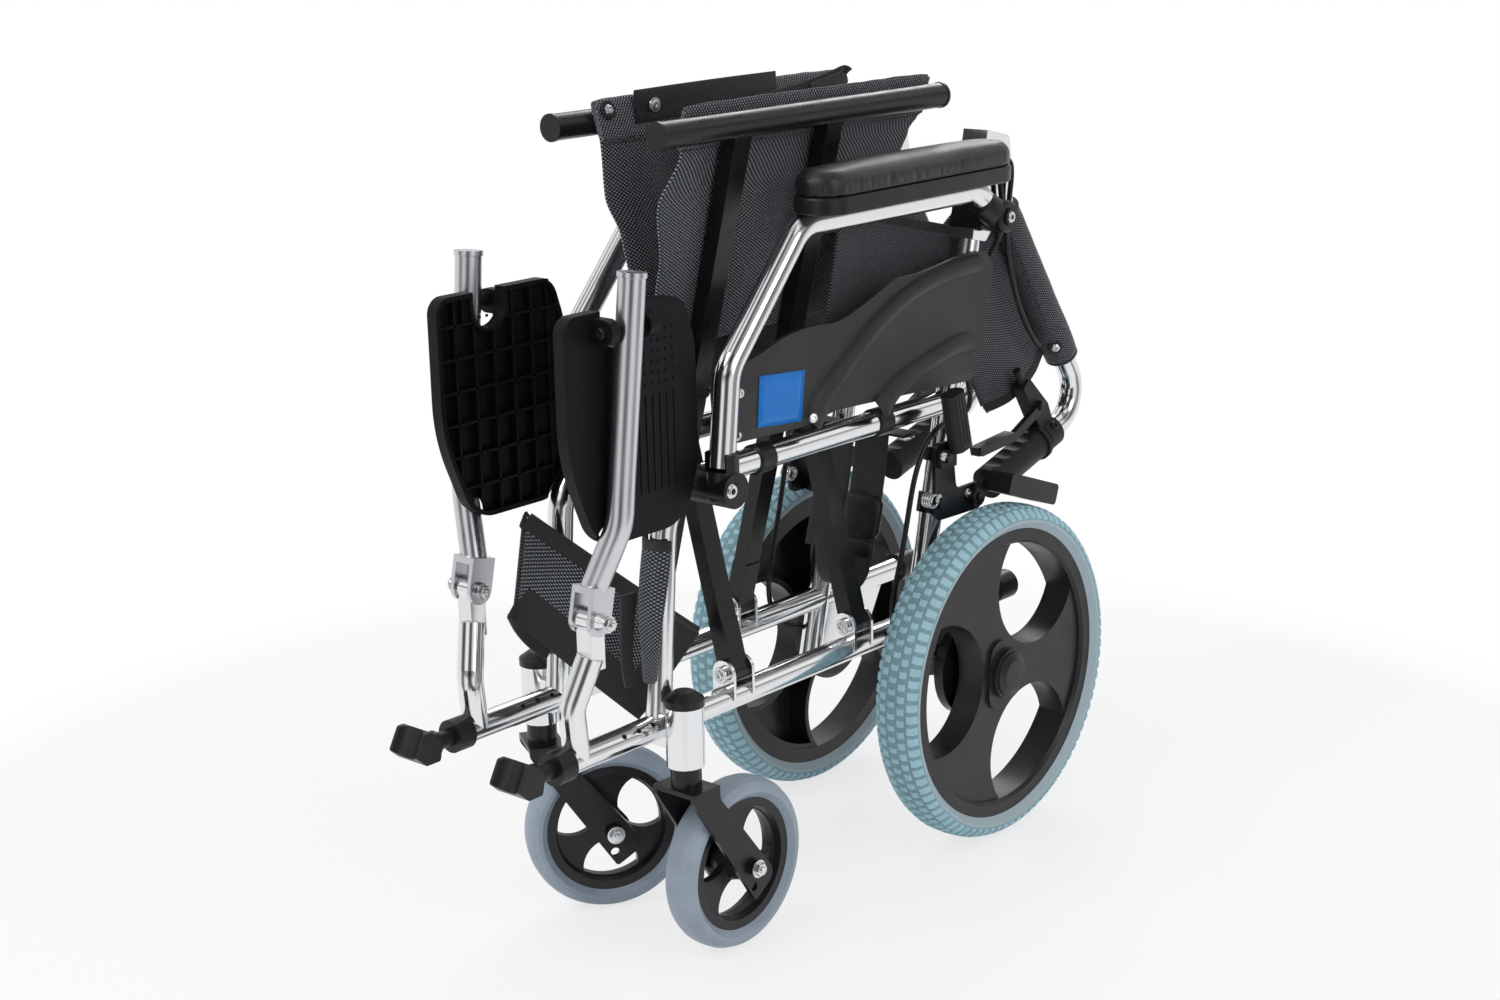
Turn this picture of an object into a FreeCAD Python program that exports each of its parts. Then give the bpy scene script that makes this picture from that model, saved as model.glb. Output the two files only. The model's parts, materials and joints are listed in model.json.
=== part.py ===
# Folding transport wheelchair, shown folded. Millimetres, +Z up, -Y to the front, +X the chair's left.
import math
import os

import FreeCAD, Part

V = FreeCAD.Vector

# ---------------------------------------------------------------- driving dimensions, mm
ORIGIN_Y = 22.0          # measuring origin to the middle of the folded length

# side frame
FOLD_HALF = 59.0         # middle plane to a side frame's plane, folded
TUBE_R = 11.0            # every polished frame tube
LOWER_Z = 209.0          # lower side tube
LOWER_FRONT_Y = -310.0
LOWER_REAR_Y = 292.0
UPPER_Z = 410.0          # upper side tube
UPRIGHT_FOOT_Y = -201.0
UPRIGHT_TOP_Y = -185.0
UPRIGHT_BEND_R = 46.0
POST_REF_Y = 151.5       # rear post at the lower tube's height
POST_LEAN = 0.2355       # rearward travel per unit of height
POST_DROP = 57.0         # post below the lower tube's axis
POST_TOP_Z = 592.0
COLLAR_R = 14.0
COLLAR_LEN = 15.0
COLLAR_GRIP = 2.0        # collar over the tube's end
SLIDE_R = 7.5            # footrest stop's slide rod
SLIDE_IN = 76.0          # rod's length inside the lower tube
SLIDE_SPARE = 40.0       # bore beyond the rod's end
RUN_FIT = 0.05           # radial play of a turning or sliding fit
SEAT_GAP = 0.3           # seated pieces on different bodies

# front riser and footrest clevis
RISER_FOOT_Y = -296.0
RISER_KNEE_Y = -300.0
RISER_KNEE_Z = 252.0
RISER_BEND_R = 28.0
HINGE_X = 68.6           # footrest hinge
HINGE_Y = -285.0
HINGE_Z = 325.0
TONGUE_W = 15.2
TONGUE_R = 10.0
LUG_T = 4.0              # clevis cheek
LUG_R = 12.0
LUG_REACH = 27.0         # hinge to the top of the clevis
PIN_R = 4.0
HEAD_R = 7.0
HEAD_T = 3.0

# caster
CASTER_X = 85.0
CASTER_Y = -197.0
CASTER_R = 75.0
CASTER_W = 32.0
CASTER_TRAIL = 56.0
CASTER_TURN = -32.0      # right caster's swivel at rest, degrees
CASTER_TYRE_DEPTH = 17.0
CASTER_RIM_T = 8.0
CASTER_WINDOW_R = 25.0
CASTER_WINDOW_SINK = 12.0  # opening's centre inside the rim's band
CASTER_WINDOW_ANGLE = 30.0
CASTER_HUB_R = 14.0
CASTER_SKIN_T = 8.0
STEM_R = 6.0
HOUSING_R = 16.0
HOUSING_LOW = 180.0
HOUSING_TOP = 232.0
CAP_T = 12.0
FORK_T = 4.0
FORK_W = 32.0
FORK_GAP = 3.0           # tyre to fork blade
FORK_TAIL = 27.0         # blade below the axle
SPARE_HOLE_R = 4.0
SPARE_DROP = 18.0        # spare axle hole below the axle

# rear wheel
AXLE_Y = 200.0
AXLE_R = 6.0
WHEEL_R = 158.0
WHEEL_X = 113.0          # middle of the tyre
TYRE_W = 45.0
TYRE_DEPTH = 20.0        # tread to the rim
RIM_BAND_T = 14.0        # rim's band
RIM_W = 34.0
WEB_DEPTH = 28.0         # walls round the openings
SKIN_T = 6.0             # outer face of the spokes
WALL_T = 5.0
HUB_R = 30.0
HUB_CAP_R = 22.0
HUB_HALF = 20.0
SPOKES = 3
PLATEAU_R = 52.0         # tips of the raised face round the hub
WINDOW_R = 62.0          # round side of an opening
WINDOW_SINK = 29.0       # its centre inside the rim's band
WINDOW_ANGLE = 56.0      # first opening, from the rear, turning up
DRUM_R = 48.0
DRUM_W = 14.0
PLATE_T = 6.0            # axle plate
PLATE_TOP_REACH = 52.0   # axle to the plate's rear top corner
PLATE_FOOT_HALF = 16.0
PLATE_FOOT_DROP = 12.0   # lower edge below the axle

# cross brace
BRACE_PIVOT_Z = 231.0
BRACE_LEN = 475.6        # bottom pivot to seat rail
BAR_T = 14.0
BAR_D = 20.0
BAR_END_T = 16.0
BAR_END_LEN = 46.0
BAR_END_R = 9.0
BRACE_1_Y = (-106.0, 58.0)
BRACE_2_Y = (-83.0, 35.0)
EAR_T = 3.0
EAR_R = 12.0
EAR_PLAY = 0.5
CROSS_PIN_R = 5.0
RAIL_FRONT_Y = -179.0
RAIL_REAR_Y = 186.0
PLUG_T = 3.0
RAIL_ROOM_DEEP = 60.0    # way down for the rail below the seat tube's line
BUFFER_Y = (-67.0, 96.0)
BUFFER_LEN = 18.0

# seat cloth
SEAT_T = 2.4
SEAT_CLEAR = 44.8        # lower edge of a half short of the bars' crossing
SEAT_LEN = BRACE_LEN / 2.0 - SEAT_CLEAR
SEAT_GAP_MID = 2.0       # lower edge to the middle plane
SEAT_FRONT_Y = -179.0
SEAT_REAR_Y = 178.0

# back hinge and back tube
PIVOT_Y = 266.0
PIVOT_Z = 613.0
CHANNEL_TOP_Z = 653.0
CHEEK_T = 2.2
STUB = 19.0              # tube beyond the pivot
PLUG_DOME = 3.0
TUBE_KNEE_Y = 426.0      # back tube's corner with the push handle
TUBE_KNEE_Z = 365.2
KNEE_R = 35.0
HANDLE_END_Y = 268.0
HANDLE_END_Z = 318.0
SLEEVE_R = 14.0
SLEEVE_FROM = 46.0       # from the pivot along the tube
SLEEVE_LEN = 182.0
GRIP_R = 16.0
GRIP_LEN = 88.0
HOLLOW_R = 14.0          # finger hollows in the grip
HOLLOW_DEEP = 2.6
CLAMP_W = 14.0
HOOD_TALL = 72.0         # lever's bracket beyond the handle's axis
LEVER_RISE = 40.0        # handle's axis to the lever's pivot
LEVER_T = 5.5
LEVER_W = 9.0

# back cloth
LOW_X = 43.4
LOW_T = 2.0
LOW_WIDE = 176.0
LOW_FROM_Z = 432.0
LOW_TO_Z = 556.0
UP_OUT_X = 37.5
UP_IN_X = 34.8
UP_T = 2.4
UP_WIDE = 107.0
UP_LEN = 200.0
UP_FROM = 14.0

# armrest
ARM_X = 90.0
LEG_LOW_Z = 424.0
LEG_LOW_Y = -149.0
LEG_MID_Y = -140.0
LEG_MID_Z = 502.6
ARM_FRONT_Y = -46.0
ARM_Z = 608.0
ARM_BACK_Y = 196.0
ARM_BEND_R = 34.0
ARM_PIVOT_Y = 236.0
ARM_PIVOT_Z = 580.0
ARM_PIN_R = 5.0
ARM_BOSS_R = 13.0
ARM_BOSS_X0 = 77.0
ARM_BOSS_X1 = 101.0
SOCKET_R = 15.0
SLEEVE_CUP_R = 14.0
SOCKET_Z = 406.0
CUP_TOP_Z = 436.0
PAD_X0 = 74.5
PAD_X1 = 126.0
PAD_FRONT_Y = -52.0
PAD_REAR_Y = 222.0
PAD_BASE_Z = 617.0
PAD_BASE_T = 14.0
PAD_TOP_Z = 655.0
PAD_CORNER_R = 20.0
PAD_CROWN = 8.0

# side panel, from its front lower corner
PANEL_X = 75.0
PANEL_T = 4.0
PANEL_Y = -146.0
PANEL_Z = 424.0
PANEL_LONG = 390.0
PANEL_TALL = 122.0
BAND_OUT = 6.0           # raised bands beyond the panel
BAND_HALF = 11.0         # half width of the upper band
PANEL_GRIP = 1.0         # bands sunk into the panel
PANEL_BEVEL = 9.0        # bevel along the foot
CLIP_TALL = 12.0
CLIP_LOW = 26.0          # lower clip above the panel's foot
CLIP_PITCH = 36.0

# footrest
FOOT_P1 = (88.5, -268.0, 402.0)
FOOT_TOP = (91.5, -248.0, 594.0)
FOOT_BEND_R = 60.0
FOOT_CAP_R = 12.0
FOOT_CAP_T = 4.0
FLAP_X = 88.0            # footplate's hinge line
FLAP_Z = 555.0
FLAP_PIN_R = 4.5
PLATE_X = 76.5           # tread face, footrest folded
PLATE_Y = -309.0         # front edge
PLATE_Z = 382.0          # foot
PLATE_WIDE = 147.0
PLATE_TALL = 187.0
PLATE_SKIN = 2.8
PLATE_RIM = 11.0
PLATE_WALL = 4.0
NOTCH_R = 17.0
NOTCH_WALL = 3.0

# footrest stop
STOP_Y = -366.0
STOP_HALF = 17.0         # block's half width
STOP_LOW = 9.0           # block below the rod's axis
STOP_HIGH = 18.0
STOP_NOSE = 10.0         # block ahead of its upper edge
STOP_BACK = 17.0
STOP_HOLLOW_R = 18.0     # cradle that the tube leans in
STOP_HOLLOW_DEEP = 7.0
NECK_LEN = 7.0
ROD_OUT = 36.0           # rod from the neck to the collar's inner end

# parking brake
MOUNT_X0 = 84.0
MOUNT_T = 4.0
BAND_R = 14.0
PARK_LIFT = 7.0          # block's pivot above the tyre
PARK_SPAN = 48.0         # between the two pivots, along
PARK_RISE = 46.0         # and up
LEVER_LEAN = 13.0        # lever's grip, foot to top
LEVER_LEN = 54.0
SHOE_CLEAR = 13.3        # block's near end above the tyre
SHOE_CLOSE = 7.4         # its far end
SHOE_NEAR_ANGLE = 87.5
SHOE_FAR_ANGLE = 61.4
SHOE_T = 20.0
PAD_WIDE = 24.0          # lever's moulded grip
PAD_THICK = 16.0
FLUTE_R = 1.1
SHOE_X0 = 100.0
SHOE_X1 = 126.0

# calf strap
CALF_LOW_Z = 246.0
CALF_TOP_Z = 358.0
CALF_T = 2.6
CALF_FOLD_X = 44.5
CALF_FOLD_Y = -300.0
CALF_TIP_X = 2.6
CALF_TIP_Y = -206.0

# lap belt and brake cable
BELT_T = 2.0
BELT_W = 38.0
BELT_X = 2.0
BELT_Y = 137.0
BELT_TAB_HALF = 12.0
BELT_TAB_DROP = 7.0      # tab below the side tube
TAB_T = 3.0
CABLE_R = 2.5


# ---------------------------------------------------------------- helpers
def rod(p, q, r):
    """Round bar from p to q."""
    axis = V(*q) - V(*p)
    return Part.makeCylinder(r, axis.Length, V(*p), axis)


def box(x0, x1, y0, y1, z0, z1):
    """Block between two corners."""
    return Part.makeBox(x1 - x0, y1 - y0, z1 - z0, V(x0, y0, z0))


def fuse(shapes):
    """One solid out of several that meet."""
    out = shapes[0].fuse(list(shapes[1:]))
    return out.removeSplitter()


def cut(shape, tools):
    """Shape with the tools taken away."""
    return shape.cut(Part.makeCompound(list(tools)))


def bent_path(points, radius):
    """Straight runs joined by tangent arcs."""
    pts = [V(*p) for p in points]
    edges = []
    start = pts[0]
    for a, b, c in zip(pts, pts[1:], pts[2:]):
        u = (a - b).normalize()
        w = (c - b).normalize()
        half = u.getAngle(w) / 2.0
        back = radius / math.tan(half)
        p = b + u * back
        q = b + w * back
        mid_dir = (u + w).normalize()
        centre = b + mid_dir * (radius / math.sin(half))
        mid = centre - mid_dir * radius
        edges.append(Part.makeLine(start, p))
        edges.append(Part.Arc(p, mid, q).toShape())
        start = q
    edges.append(Part.makeLine(start, pts[-1]))
    return Part.Wire(edges)


def tube(points, r, radius):
    """Round bar along a path with bends."""
    path = bent_path(points, radius)
    first = V(*points[1]) - V(*points[0])
    ring = Part.Wire([Part.makeCircle(r, V(*points[0]), first)])
    return path.makePipeShell([ring], True, False)


def plate_x(points, x0, x1, corner=0.0):
    """Plate across X from (y, z) points, with rounded corners."""
    return prism([V(x0, y, z) for y, z in points], V(x1 - x0, 0, 0), corner)


def prism(pts, push, corner=0.0):
    """Flat outline pushed along a vector."""
    return outline_face(pts, corner).extrude(push)


def outline_face(pts, corner=0.0):
    """Flat face with one corner radius, or a list with one for each corner."""
    n = len(pts)
    radii = list(corner) if isinstance(corner, (list, tuple)) else [corner] * n
    if max(radii) <= 0:
        return Part.Face(Part.makePolygon(pts + [pts[0]]))
    edges = []
    ends = []
    for i in range(n):
        a = pts[i - 1]
        b = pts[i]
        c = pts[(i + 1) % n]
        u = (a - b).normalize()
        w = (c - b).normalize()
        half = u.getAngle(w) / 2.0
        shortest = min((a - b).Length, (c - b).Length)
        back = min(radii[i] / math.tan(half), 0.48 * shortest)
        r = back * math.tan(half)
        m = (u + w).normalize()
        centre = b + m * (r / math.sin(half))
        ends.append((b + u * back, centre - m * r, b + w * back))
    for i in range(n):
        p, mid, q = ends[i]
        edges.append(Part.Arc(p, mid, q).toShape())
        edges.append(Part.makeLine(q, ends[(i + 1) % n][0]))
    return Part.Face(Part.Wire(edges))


def ring_x(profile, y, z):
    """Solid of revolution about an X axis through (y, z) from (x, r) points."""
    pts = [V(x, y, z + r) for x, r in profile]
    face = Part.Face(Part.makePolygon(pts + [pts[0]]))
    return face.revolve(V(0, y, z), V(1, 0, 0), 360)


def mirror(shape):
    """The same piece on the chair's right side."""
    return shape.mirror(V(0, 0, 0), V(1, 0, 0))


def post_y(z):
    """Rear post's axis at a height."""
    return POST_REF_Y + (z - LOWER_Z) * POST_LEAN


POST_LEN = math.hypot(1.0, POST_LEAN)
POST_DIR = V(0, POST_LEAN / POST_LEN, 1.0 / POST_LEN)
POST_FRONT = V(0, -1.0 / POST_LEN, POST_LEAN / POST_LEN)
BACK_DIR = V(0, TUBE_KNEE_Y - PIVOT_Y, TUBE_KNEE_Z - PIVOT_Z).normalize()
BACK_SIDE = V(0, BACK_DIR.z, -BACK_DIR.y)
PIVOT = V(FOLD_HALF, PIVOT_Y, PIVOT_Z)
BRACE_RISE = math.sqrt(BRACE_LEN ** 2 - (2 * FOLD_HALF) ** 2)
RAIL_Z = BRACE_PIVOT_Z + BRACE_RISE
CROSS_Z = BRACE_PIVOT_Z + BRACE_RISE / 2.0
AXLE_Z = WHEEL_R
TYRE_BED_R = WHEEL_R - TYRE_DEPTH
RIM_IN_R = TYRE_BED_R - RIM_BAND_T
WINDOW_AT_R = RIM_IN_R - WINDOW_SINK
CASTER_RIM_R = CASTER_R - CASTER_TYRE_DEPTH
CASTER_BAND_R = CASTER_RIM_R - CASTER_RIM_T
SHOE_PIVOT = (AXLE_Y + 3.0, AXLE_Z + WHEEL_R + PARK_LIFT)
LEVER_PIVOT = (SHOE_PIVOT[0] - PARK_SPAN, SHOE_PIVOT[1] + PARK_RISE)
LEVER_GRIP_LOW = (LEVER_PIVOT[0] + 15.0, LEVER_PIVOT[1] + 7.0)
LEVER_GRIP_TOP = (LEVER_GRIP_LOW[0] - LEVER_LEAN, LEVER_GRIP_LOW[1] + LEVER_LEN)
FLAP_TUBE_T = (FLAP_Z - FOOT_P1[2]) / (FOOT_TOP[2] - FOOT_P1[2])
FLAP_TUBE_Y = FOOT_P1[1] + FLAP_TUBE_T * (FOOT_TOP[1] - FOOT_P1[1])


def on_post(z, ahead=0.0, side=0.0):
    """Point beside the rear post."""
    p = V(FOLD_HALF + side, post_y(z), z) + POST_FRONT * ahead
    return (p.x, p.y, p.z)


def on_back(along, aside=0.0, x=FOLD_HALF):
    """Point beside the dropped back tube, measured from its pivot."""
    p = V(x, PIVOT_Y, PIVOT_Z) + BACK_DIR * along + BACK_SIDE * aside
    return p


# ---------------------------------------------------------------- side frame
def post_solid():
    return rod(on_post(LOWER_Z - POST_DROP), on_post(POST_TOP_Z), TUBE_R)


def upper_tube():
    foot = (FOLD_HALF, UPRIGHT_FOOT_Y, LOWER_Z)
    corner = (FOLD_HALF, UPRIGHT_TOP_Y, UPPER_Z)
    end = (FOLD_HALF, post_y(UPPER_Z), UPPER_Z)
    return tube([foot, corner, end], TUBE_R, UPRIGHT_BEND_R)


def tube_room(play):
    """Upper tube's outline grown by a clearance."""
    foot = (FOLD_HALF, UPRIGHT_FOOT_Y, LOWER_Z)
    corner = (FOLD_HALF, UPRIGHT_TOP_Y, UPPER_Z)
    end = (FOLD_HALF, post_y(UPPER_Z), UPPER_Z)
    return tube([foot, corner, end], TUBE_R + play, UPRIGHT_BEND_R)


def rail_room():
    """Way down for the seat rail beside the raised footplate."""
    edge = FOLD_HALF + TUBE_R + 0.6
    return box(FOLD_HALF - TUBE_R, edge, RAIL_FRONT_Y - PLUG_T - 2.5, RAIL_REAR_Y, UPPER_Z - RAIL_ROOM_DEEP, RAIL_Z)


def lower_tube():
    return rod((FOLD_HALF, LOWER_FRONT_Y, LOWER_Z), (FOLD_HALF, LOWER_REAR_Y, LOWER_Z), TUBE_R)


def riser():
    top_y = HINGE_Y - 1.0
    top_z = HINGE_Z - 3.0 * TONGUE_R
    pts = [(FOLD_HALF, RISER_FOOT_Y, LOWER_Z), (FOLD_HALF, RISER_KNEE_Y, RISER_KNEE_Z)]
    pts.append((HINGE_X, top_y, top_z))
    pipe = tube(pts, TUBE_R, RISER_BEND_R)
    half = TONGUE_W / 2.0
    front = HINGE_Y - 0.8 * TONGUE_R
    rear = HINGE_Y + 0.8 * TONGUE_R
    outline = [(front, top_z - TUBE_R), (front, HINGE_Z), (rear, HINGE_Z), (rear, top_z - TUBE_R)]
    block = plate_x(outline, HINGE_X - half, HINGE_X + half)
    eye = rod((HINGE_X - half, HINGE_Y, HINGE_Z), (HINGE_X + half, HINGE_Y, HINGE_Z), TONGUE_R)
    out = half + SEAT_GAP + LUG_T
    pin = rod((HINGE_X - out - HEAD_T, HINGE_Y, HINGE_Z), (HINGE_X + out, HINGE_Y, HINGE_Z), PIN_R)
    x = HINGE_X + out + RUN_FIT
    nut = Part.makeCone(HEAD_R + 1.0, PIN_R, 3 * HEAD_T, V(x, HINGE_Y, HINGE_Z), V(1, 0, 0))
    tip = rod((HINGE_X, HINGE_Y, HINGE_Z), (x + HEAD_T, HINGE_Y, HINGE_Z), PIN_R)
    x = HINGE_X - out - RUN_FIT
    head = rod((x - HEAD_T, HINGE_Y, HINGE_Z), (x, HINGE_Y, HINGE_Z), HEAD_R)
    return [pipe, block, eye, pin, tip, nut, head]


def axle_plate():
    x0 = FOLD_HALF - PLATE_T / 2.0
    x1 = FOLD_HALF + PLATE_T / 2.0
    y = AXLE_Y
    z = AXLE_Z
    top = LOWER_Z
    foot_z = LOWER_Z - POST_DROP + 6
    foot_low = z - PLATE_FOOT_DROP
    outline = [(post_y(LOWER_Z), top), (y + PLATE_TOP_REACH, top)]
    outline.append((y + PLATE_FOOT_HALF, foot_low))
    outline.append((y - PLATE_FOOT_HALF, foot_low))
    outline.append((post_y(foot_z), foot_z))
    plate = plate_x(outline, x0, x1)
    boss = rod((x0 - 6, y, z), (WHEEL_X - TYRE_W / 2.0 - DRUM_W - 1.0, y, z), 2.2 * AXLE_R)
    axle = rod((x0 - 14, y, z), (WHEEL_X + HUB_HALF - 1.0, y, z), AXLE_R)
    nut = rod((x0 - 11, y, z), (x0 - 6, y, z), 1.7 * AXLE_R)
    return [plate, boss, axle, nut]


def caster_housing():
    body = rod((CASTER_X, CASTER_Y, HOUSING_LOW), (CASTER_X, CASTER_Y, HOUSING_TOP), HOUSING_R)
    weld = box(FOLD_HALF, CASTER_X, CASTER_Y - 11, CASTER_Y + 11, LOWER_Z - 14, LOWER_Z + 14)
    return [body, weld]


def brace_bracket(y):
    """Rounded cheeks on the lower tube with the brace's bottom bolt."""
    out = []
    inner = BAR_D / 2.0 + EAR_PLAY
    x = FOLD_HALF
    z = BRACE_PIVOT_Z
    for side in (-1, 1):
        y0 = y + side * inner
        y1 = y0 + side * EAR_T
        low = min(y0, y1)
        out.append(box(x - EAR_R, x + EAR_R, low, low + EAR_T, LOWER_Z, z))
        out.append(rod((x, low, z), (x, low + EAR_T, z), EAR_R))
    reach = inner + EAR_T
    out.append(rod((x, y - reach, z), (x, y + reach, z), PIN_R))
    for side in (-1, 1):
        face = y + side * reach
        out.append(rod((x, face, z), (x, face + side * HEAD_T, z), HEAD_R))
    return out


def back_channel():
    """Polished channel at the post's top that carries the back tube's pivot."""
    front = TUBE_R + CHEEK_T
    low_z = POST_TOP_Z - 36.0
    out = []
    back = -(PIVOT_Y - post_y(PIVOT_Z)) * POST_FRONT.y * -1.0 - 15.0
    for side in (-1, 1):
        x0 = side * (TUBE_R + SEAT_GAP)
        p = [on_post(low_z, front, x0), on_post(CHANNEL_TOP_Z, front, x0)]
        p += [on_post(CHANNEL_TOP_Z, back + 12, x0), on_post(PIVOT_Z + 12, back, x0)]
        p += [on_post(PIVOT_Z - 14, back, x0), on_post(low_z, -TUBE_R + 3, x0)]
        out.append(prism([V(*q) for q in p], V(side * CHEEK_T, 0, 0), 5.0))
    wide = TUBE_R + SEAT_GAP + CHEEK_T
    web = [on_post(low_z, TUBE_R - 0.5, -wide), on_post(CHANNEL_TOP_Z, TUBE_R - 0.5, -wide)]
    web += [on_post(CHANNEL_TOP_Z, front, -wide), on_post(low_z, front, -wide)]
    out.append(prism([V(*q) for q in web], V(2 * wide, 0, 0)))
    for side in (-1, 1):
        a = on_post(low_z + 14, 0, side * (TUBE_R - 3))
        b = on_post(low_z + 14, 0, side * (wide + 1.5))
        out.append(rod(a, b, PIN_R + 1))
    pin_a = (FOLD_HALF - wide - 1.5, PIVOT_Y, PIVOT_Z)
    pin_b = (FOLD_HALF + wide + 1.5, PIVOT_Y, PIVOT_Z)
    out.append(rod(pin_a, pin_b, PIN_R))
    out.append(rod((FOLD_HALF + wide, PIVOT_Y, PIVOT_Z), pin_b, HEAD_R))
    return out


def slide_end():
    """Rear end of the stop's rod."""
    return STOP_Y + STOP_BACK + ROD_OUT + SLIDE_IN


def frame_bores():
    y0 = LOWER_FRONT_Y - COLLAR_LEN - 1
    slide = rod((FOLD_HALF, y0, LOWER_Z), (FOLD_HALF, slide_end() + SLIDE_SPARE, LOWER_Z), SLIDE_R + RUN_FIT)
    stem = rod((CASTER_X, CASTER_Y, HOUSING_LOW - 1), (CASTER_X, CASTER_Y, HOUSING_TOP + 1), STEM_R + RUN_FIT)
    return [slide, stem]


def side_frame(bracket_ys):
    pieces = [lower_tube(), upper_tube(), post_solid()]
    pieces += riser() + axle_plate() + caster_housing() + back_channel()
    for y in bracket_ys:
        pieces += brace_bracket(y)
    return cut(fuse(pieces), frame_bores())


# ---------------------------------------------------------------- fittings on the side frame
def caster_cap():
    base = V(CASTER_X, CASTER_Y, HOUSING_TOP)
    skirt = Part.makeCylinder(HOUSING_R + 1, CAP_T * 0.5, base)
    dome = Part.makeCone(HOUSING_R + 1, HOUSING_R * 0.55, CAP_T * 0.5, base + V(0, 0, CAP_T * 0.5))
    return skirt.fuse(dome)


def collar(frame):
    """Plastic guide on the lower tube's front end, round the slide rod."""
    front = LOWER_FRONT_Y - COLLAR_LEN
    ring = rod((FOLD_HALF, front, LOWER_Z), (FOLD_HALF, LOWER_FRONT_Y + COLLAR_GRIP, LOWER_Z), COLLAR_R)
    bore = rod((FOLD_HALF, front - 1, LOWER_Z), (FOLD_HALF, LOWER_FRONT_Y + COLLAR_GRIP + 1, LOWER_Z),
               SLIDE_R + RUN_FIT)
    return cut(ring, [frame, bore])


def rear_cap(frame):
    y1 = LOWER_REAR_Y + 10.0
    body = rod((FOLD_HALF, LOWER_REAR_Y - 20, LOWER_Z), (FOLD_HALF, y1 - 4, LOWER_Z), TUBE_R + 3)
    nose = Part.makeCone(TUBE_R + 3, TUBE_R - 1, 4, V(FOLD_HALF, y1 - 4, LOWER_Z), V(0, 1, 0))
    return body.fuse(nose).cut(frame)


def arm_socket(frame):
    """Cross barrel on the side tube with an open-fronted cup for the arm's leg."""
    y = LEG_LOW_Y
    barrel = rod((FOLD_HALF - TUBE_R - 3, y, SOCKET_Z), (ARM_X + SOCKET_R, y, SOCKET_Z), SOCKET_R)
    cup = rod((ARM_X, y, SOCKET_Z - 8), (ARM_X, y, CUP_TOP_Z), SLEEVE_CUP_R)
    solid = barrel.fuse(cup)
    wide = TUBE_R + SEAT_GAP
    lean = (LEG_MID_Y - LEG_LOW_Y) / (LEG_MID_Z - LEG_LOW_Z)
    foot = LEG_LOW_Z - 2.5
    top_y = y + lean * (CUP_TOP_Z + 4 - foot)
    bore = rod((ARM_X, y, foot), (ARM_X, top_y, CUP_TOP_Z + 4), wide)
    slot = box(ARM_X - wide, ARM_X + wide, y - 3 * TUBE_R, y, foot + 0.5, CUP_TOP_Z + 1)
    button = rod((ARM_X + SOCKET_R, y, SOCKET_Z), (ARM_X + SOCKET_R + 2, y, SOCKET_Z), 6.0)
    return cut(solid, [frame, bore, slot]).fuse(button)


def arm_elbow(frame):
    """Block on the post with the armrest's pivot pin."""
    z0 = ARM_PIVOT_Z - 14
    z1 = ARM_PIVOT_Z + 14
    x0 = FOLD_HALF - TUBE_R - 2.2
    x1 = ARM_BOSS_X0 - 1.3
    lean = post_y(z1) - post_y(z0)
    pts = [(post_y(z0) - 15, z0), (post_y(z0) + 13, z0), (post_y(z0) + 13 + lean, z1)]
    pts.append((post_y(z0) - 15 + lean, z1))
    body = plate_x(pts, x0, x1, 5.0)
    y = ARM_PIVOT_Y
    z = ARM_PIVOT_Z
    pin = rod((x1 - 1, y, z), (ARM_BOSS_X1 + 1.5, y, z), ARM_PIN_R)
    shoulder = rod((x1 - 1, y, z), (ARM_BOSS_X0 - SEAT_GAP, y, z), ARM_BOSS_R)
    x = ARM_BOSS_X1 + SEAT_GAP
    head = rod((x, y, z), (x + 3.5, y, z), HEAD_R + 1)
    return fuse([body.cut(frame), pin, shoulder, head])


def rail_buffer(y, frame):
    """Saddle on the side tube that the opened seat rail comes down on."""
    ring = rod((FOLD_HALF, y - BUFFER_LEN / 2, UPPER_Z), (FOLD_HALF, y + BUFFER_LEN / 2, UPPER_Z), TUBE_R + 2)
    return ring.cut(frame)


def frame_fittings(frame):
    out = [caster_cap().cut(frame), collar(frame), rear_cap(frame), arm_socket(frame), arm_elbow(frame)]
    out += [rail_buffer(y, frame) for y in BUFFER_Y]
    return Part.makeCompound(out)


def drum_brake():
    x1 = WHEEL_X - TYRE_W / 2.0 - 1.0
    x0 = x1 - DRUM_W
    prof = [(x0, AXLE_R), (x0, DRUM_R - 5), (x0 + 4, DRUM_R), (x1, DRUM_R), (x1, AXLE_R)]
    drum = ring_x(prof, AXLE_Y, AXLE_Z)
    boss = rod((x0 - 4, AXLE_Y - 34, AXLE_Z + 20), (x0 + 2, AXLE_Y - 34, AXLE_Z + 20), 8)
    return drum.fuse(boss)


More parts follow.
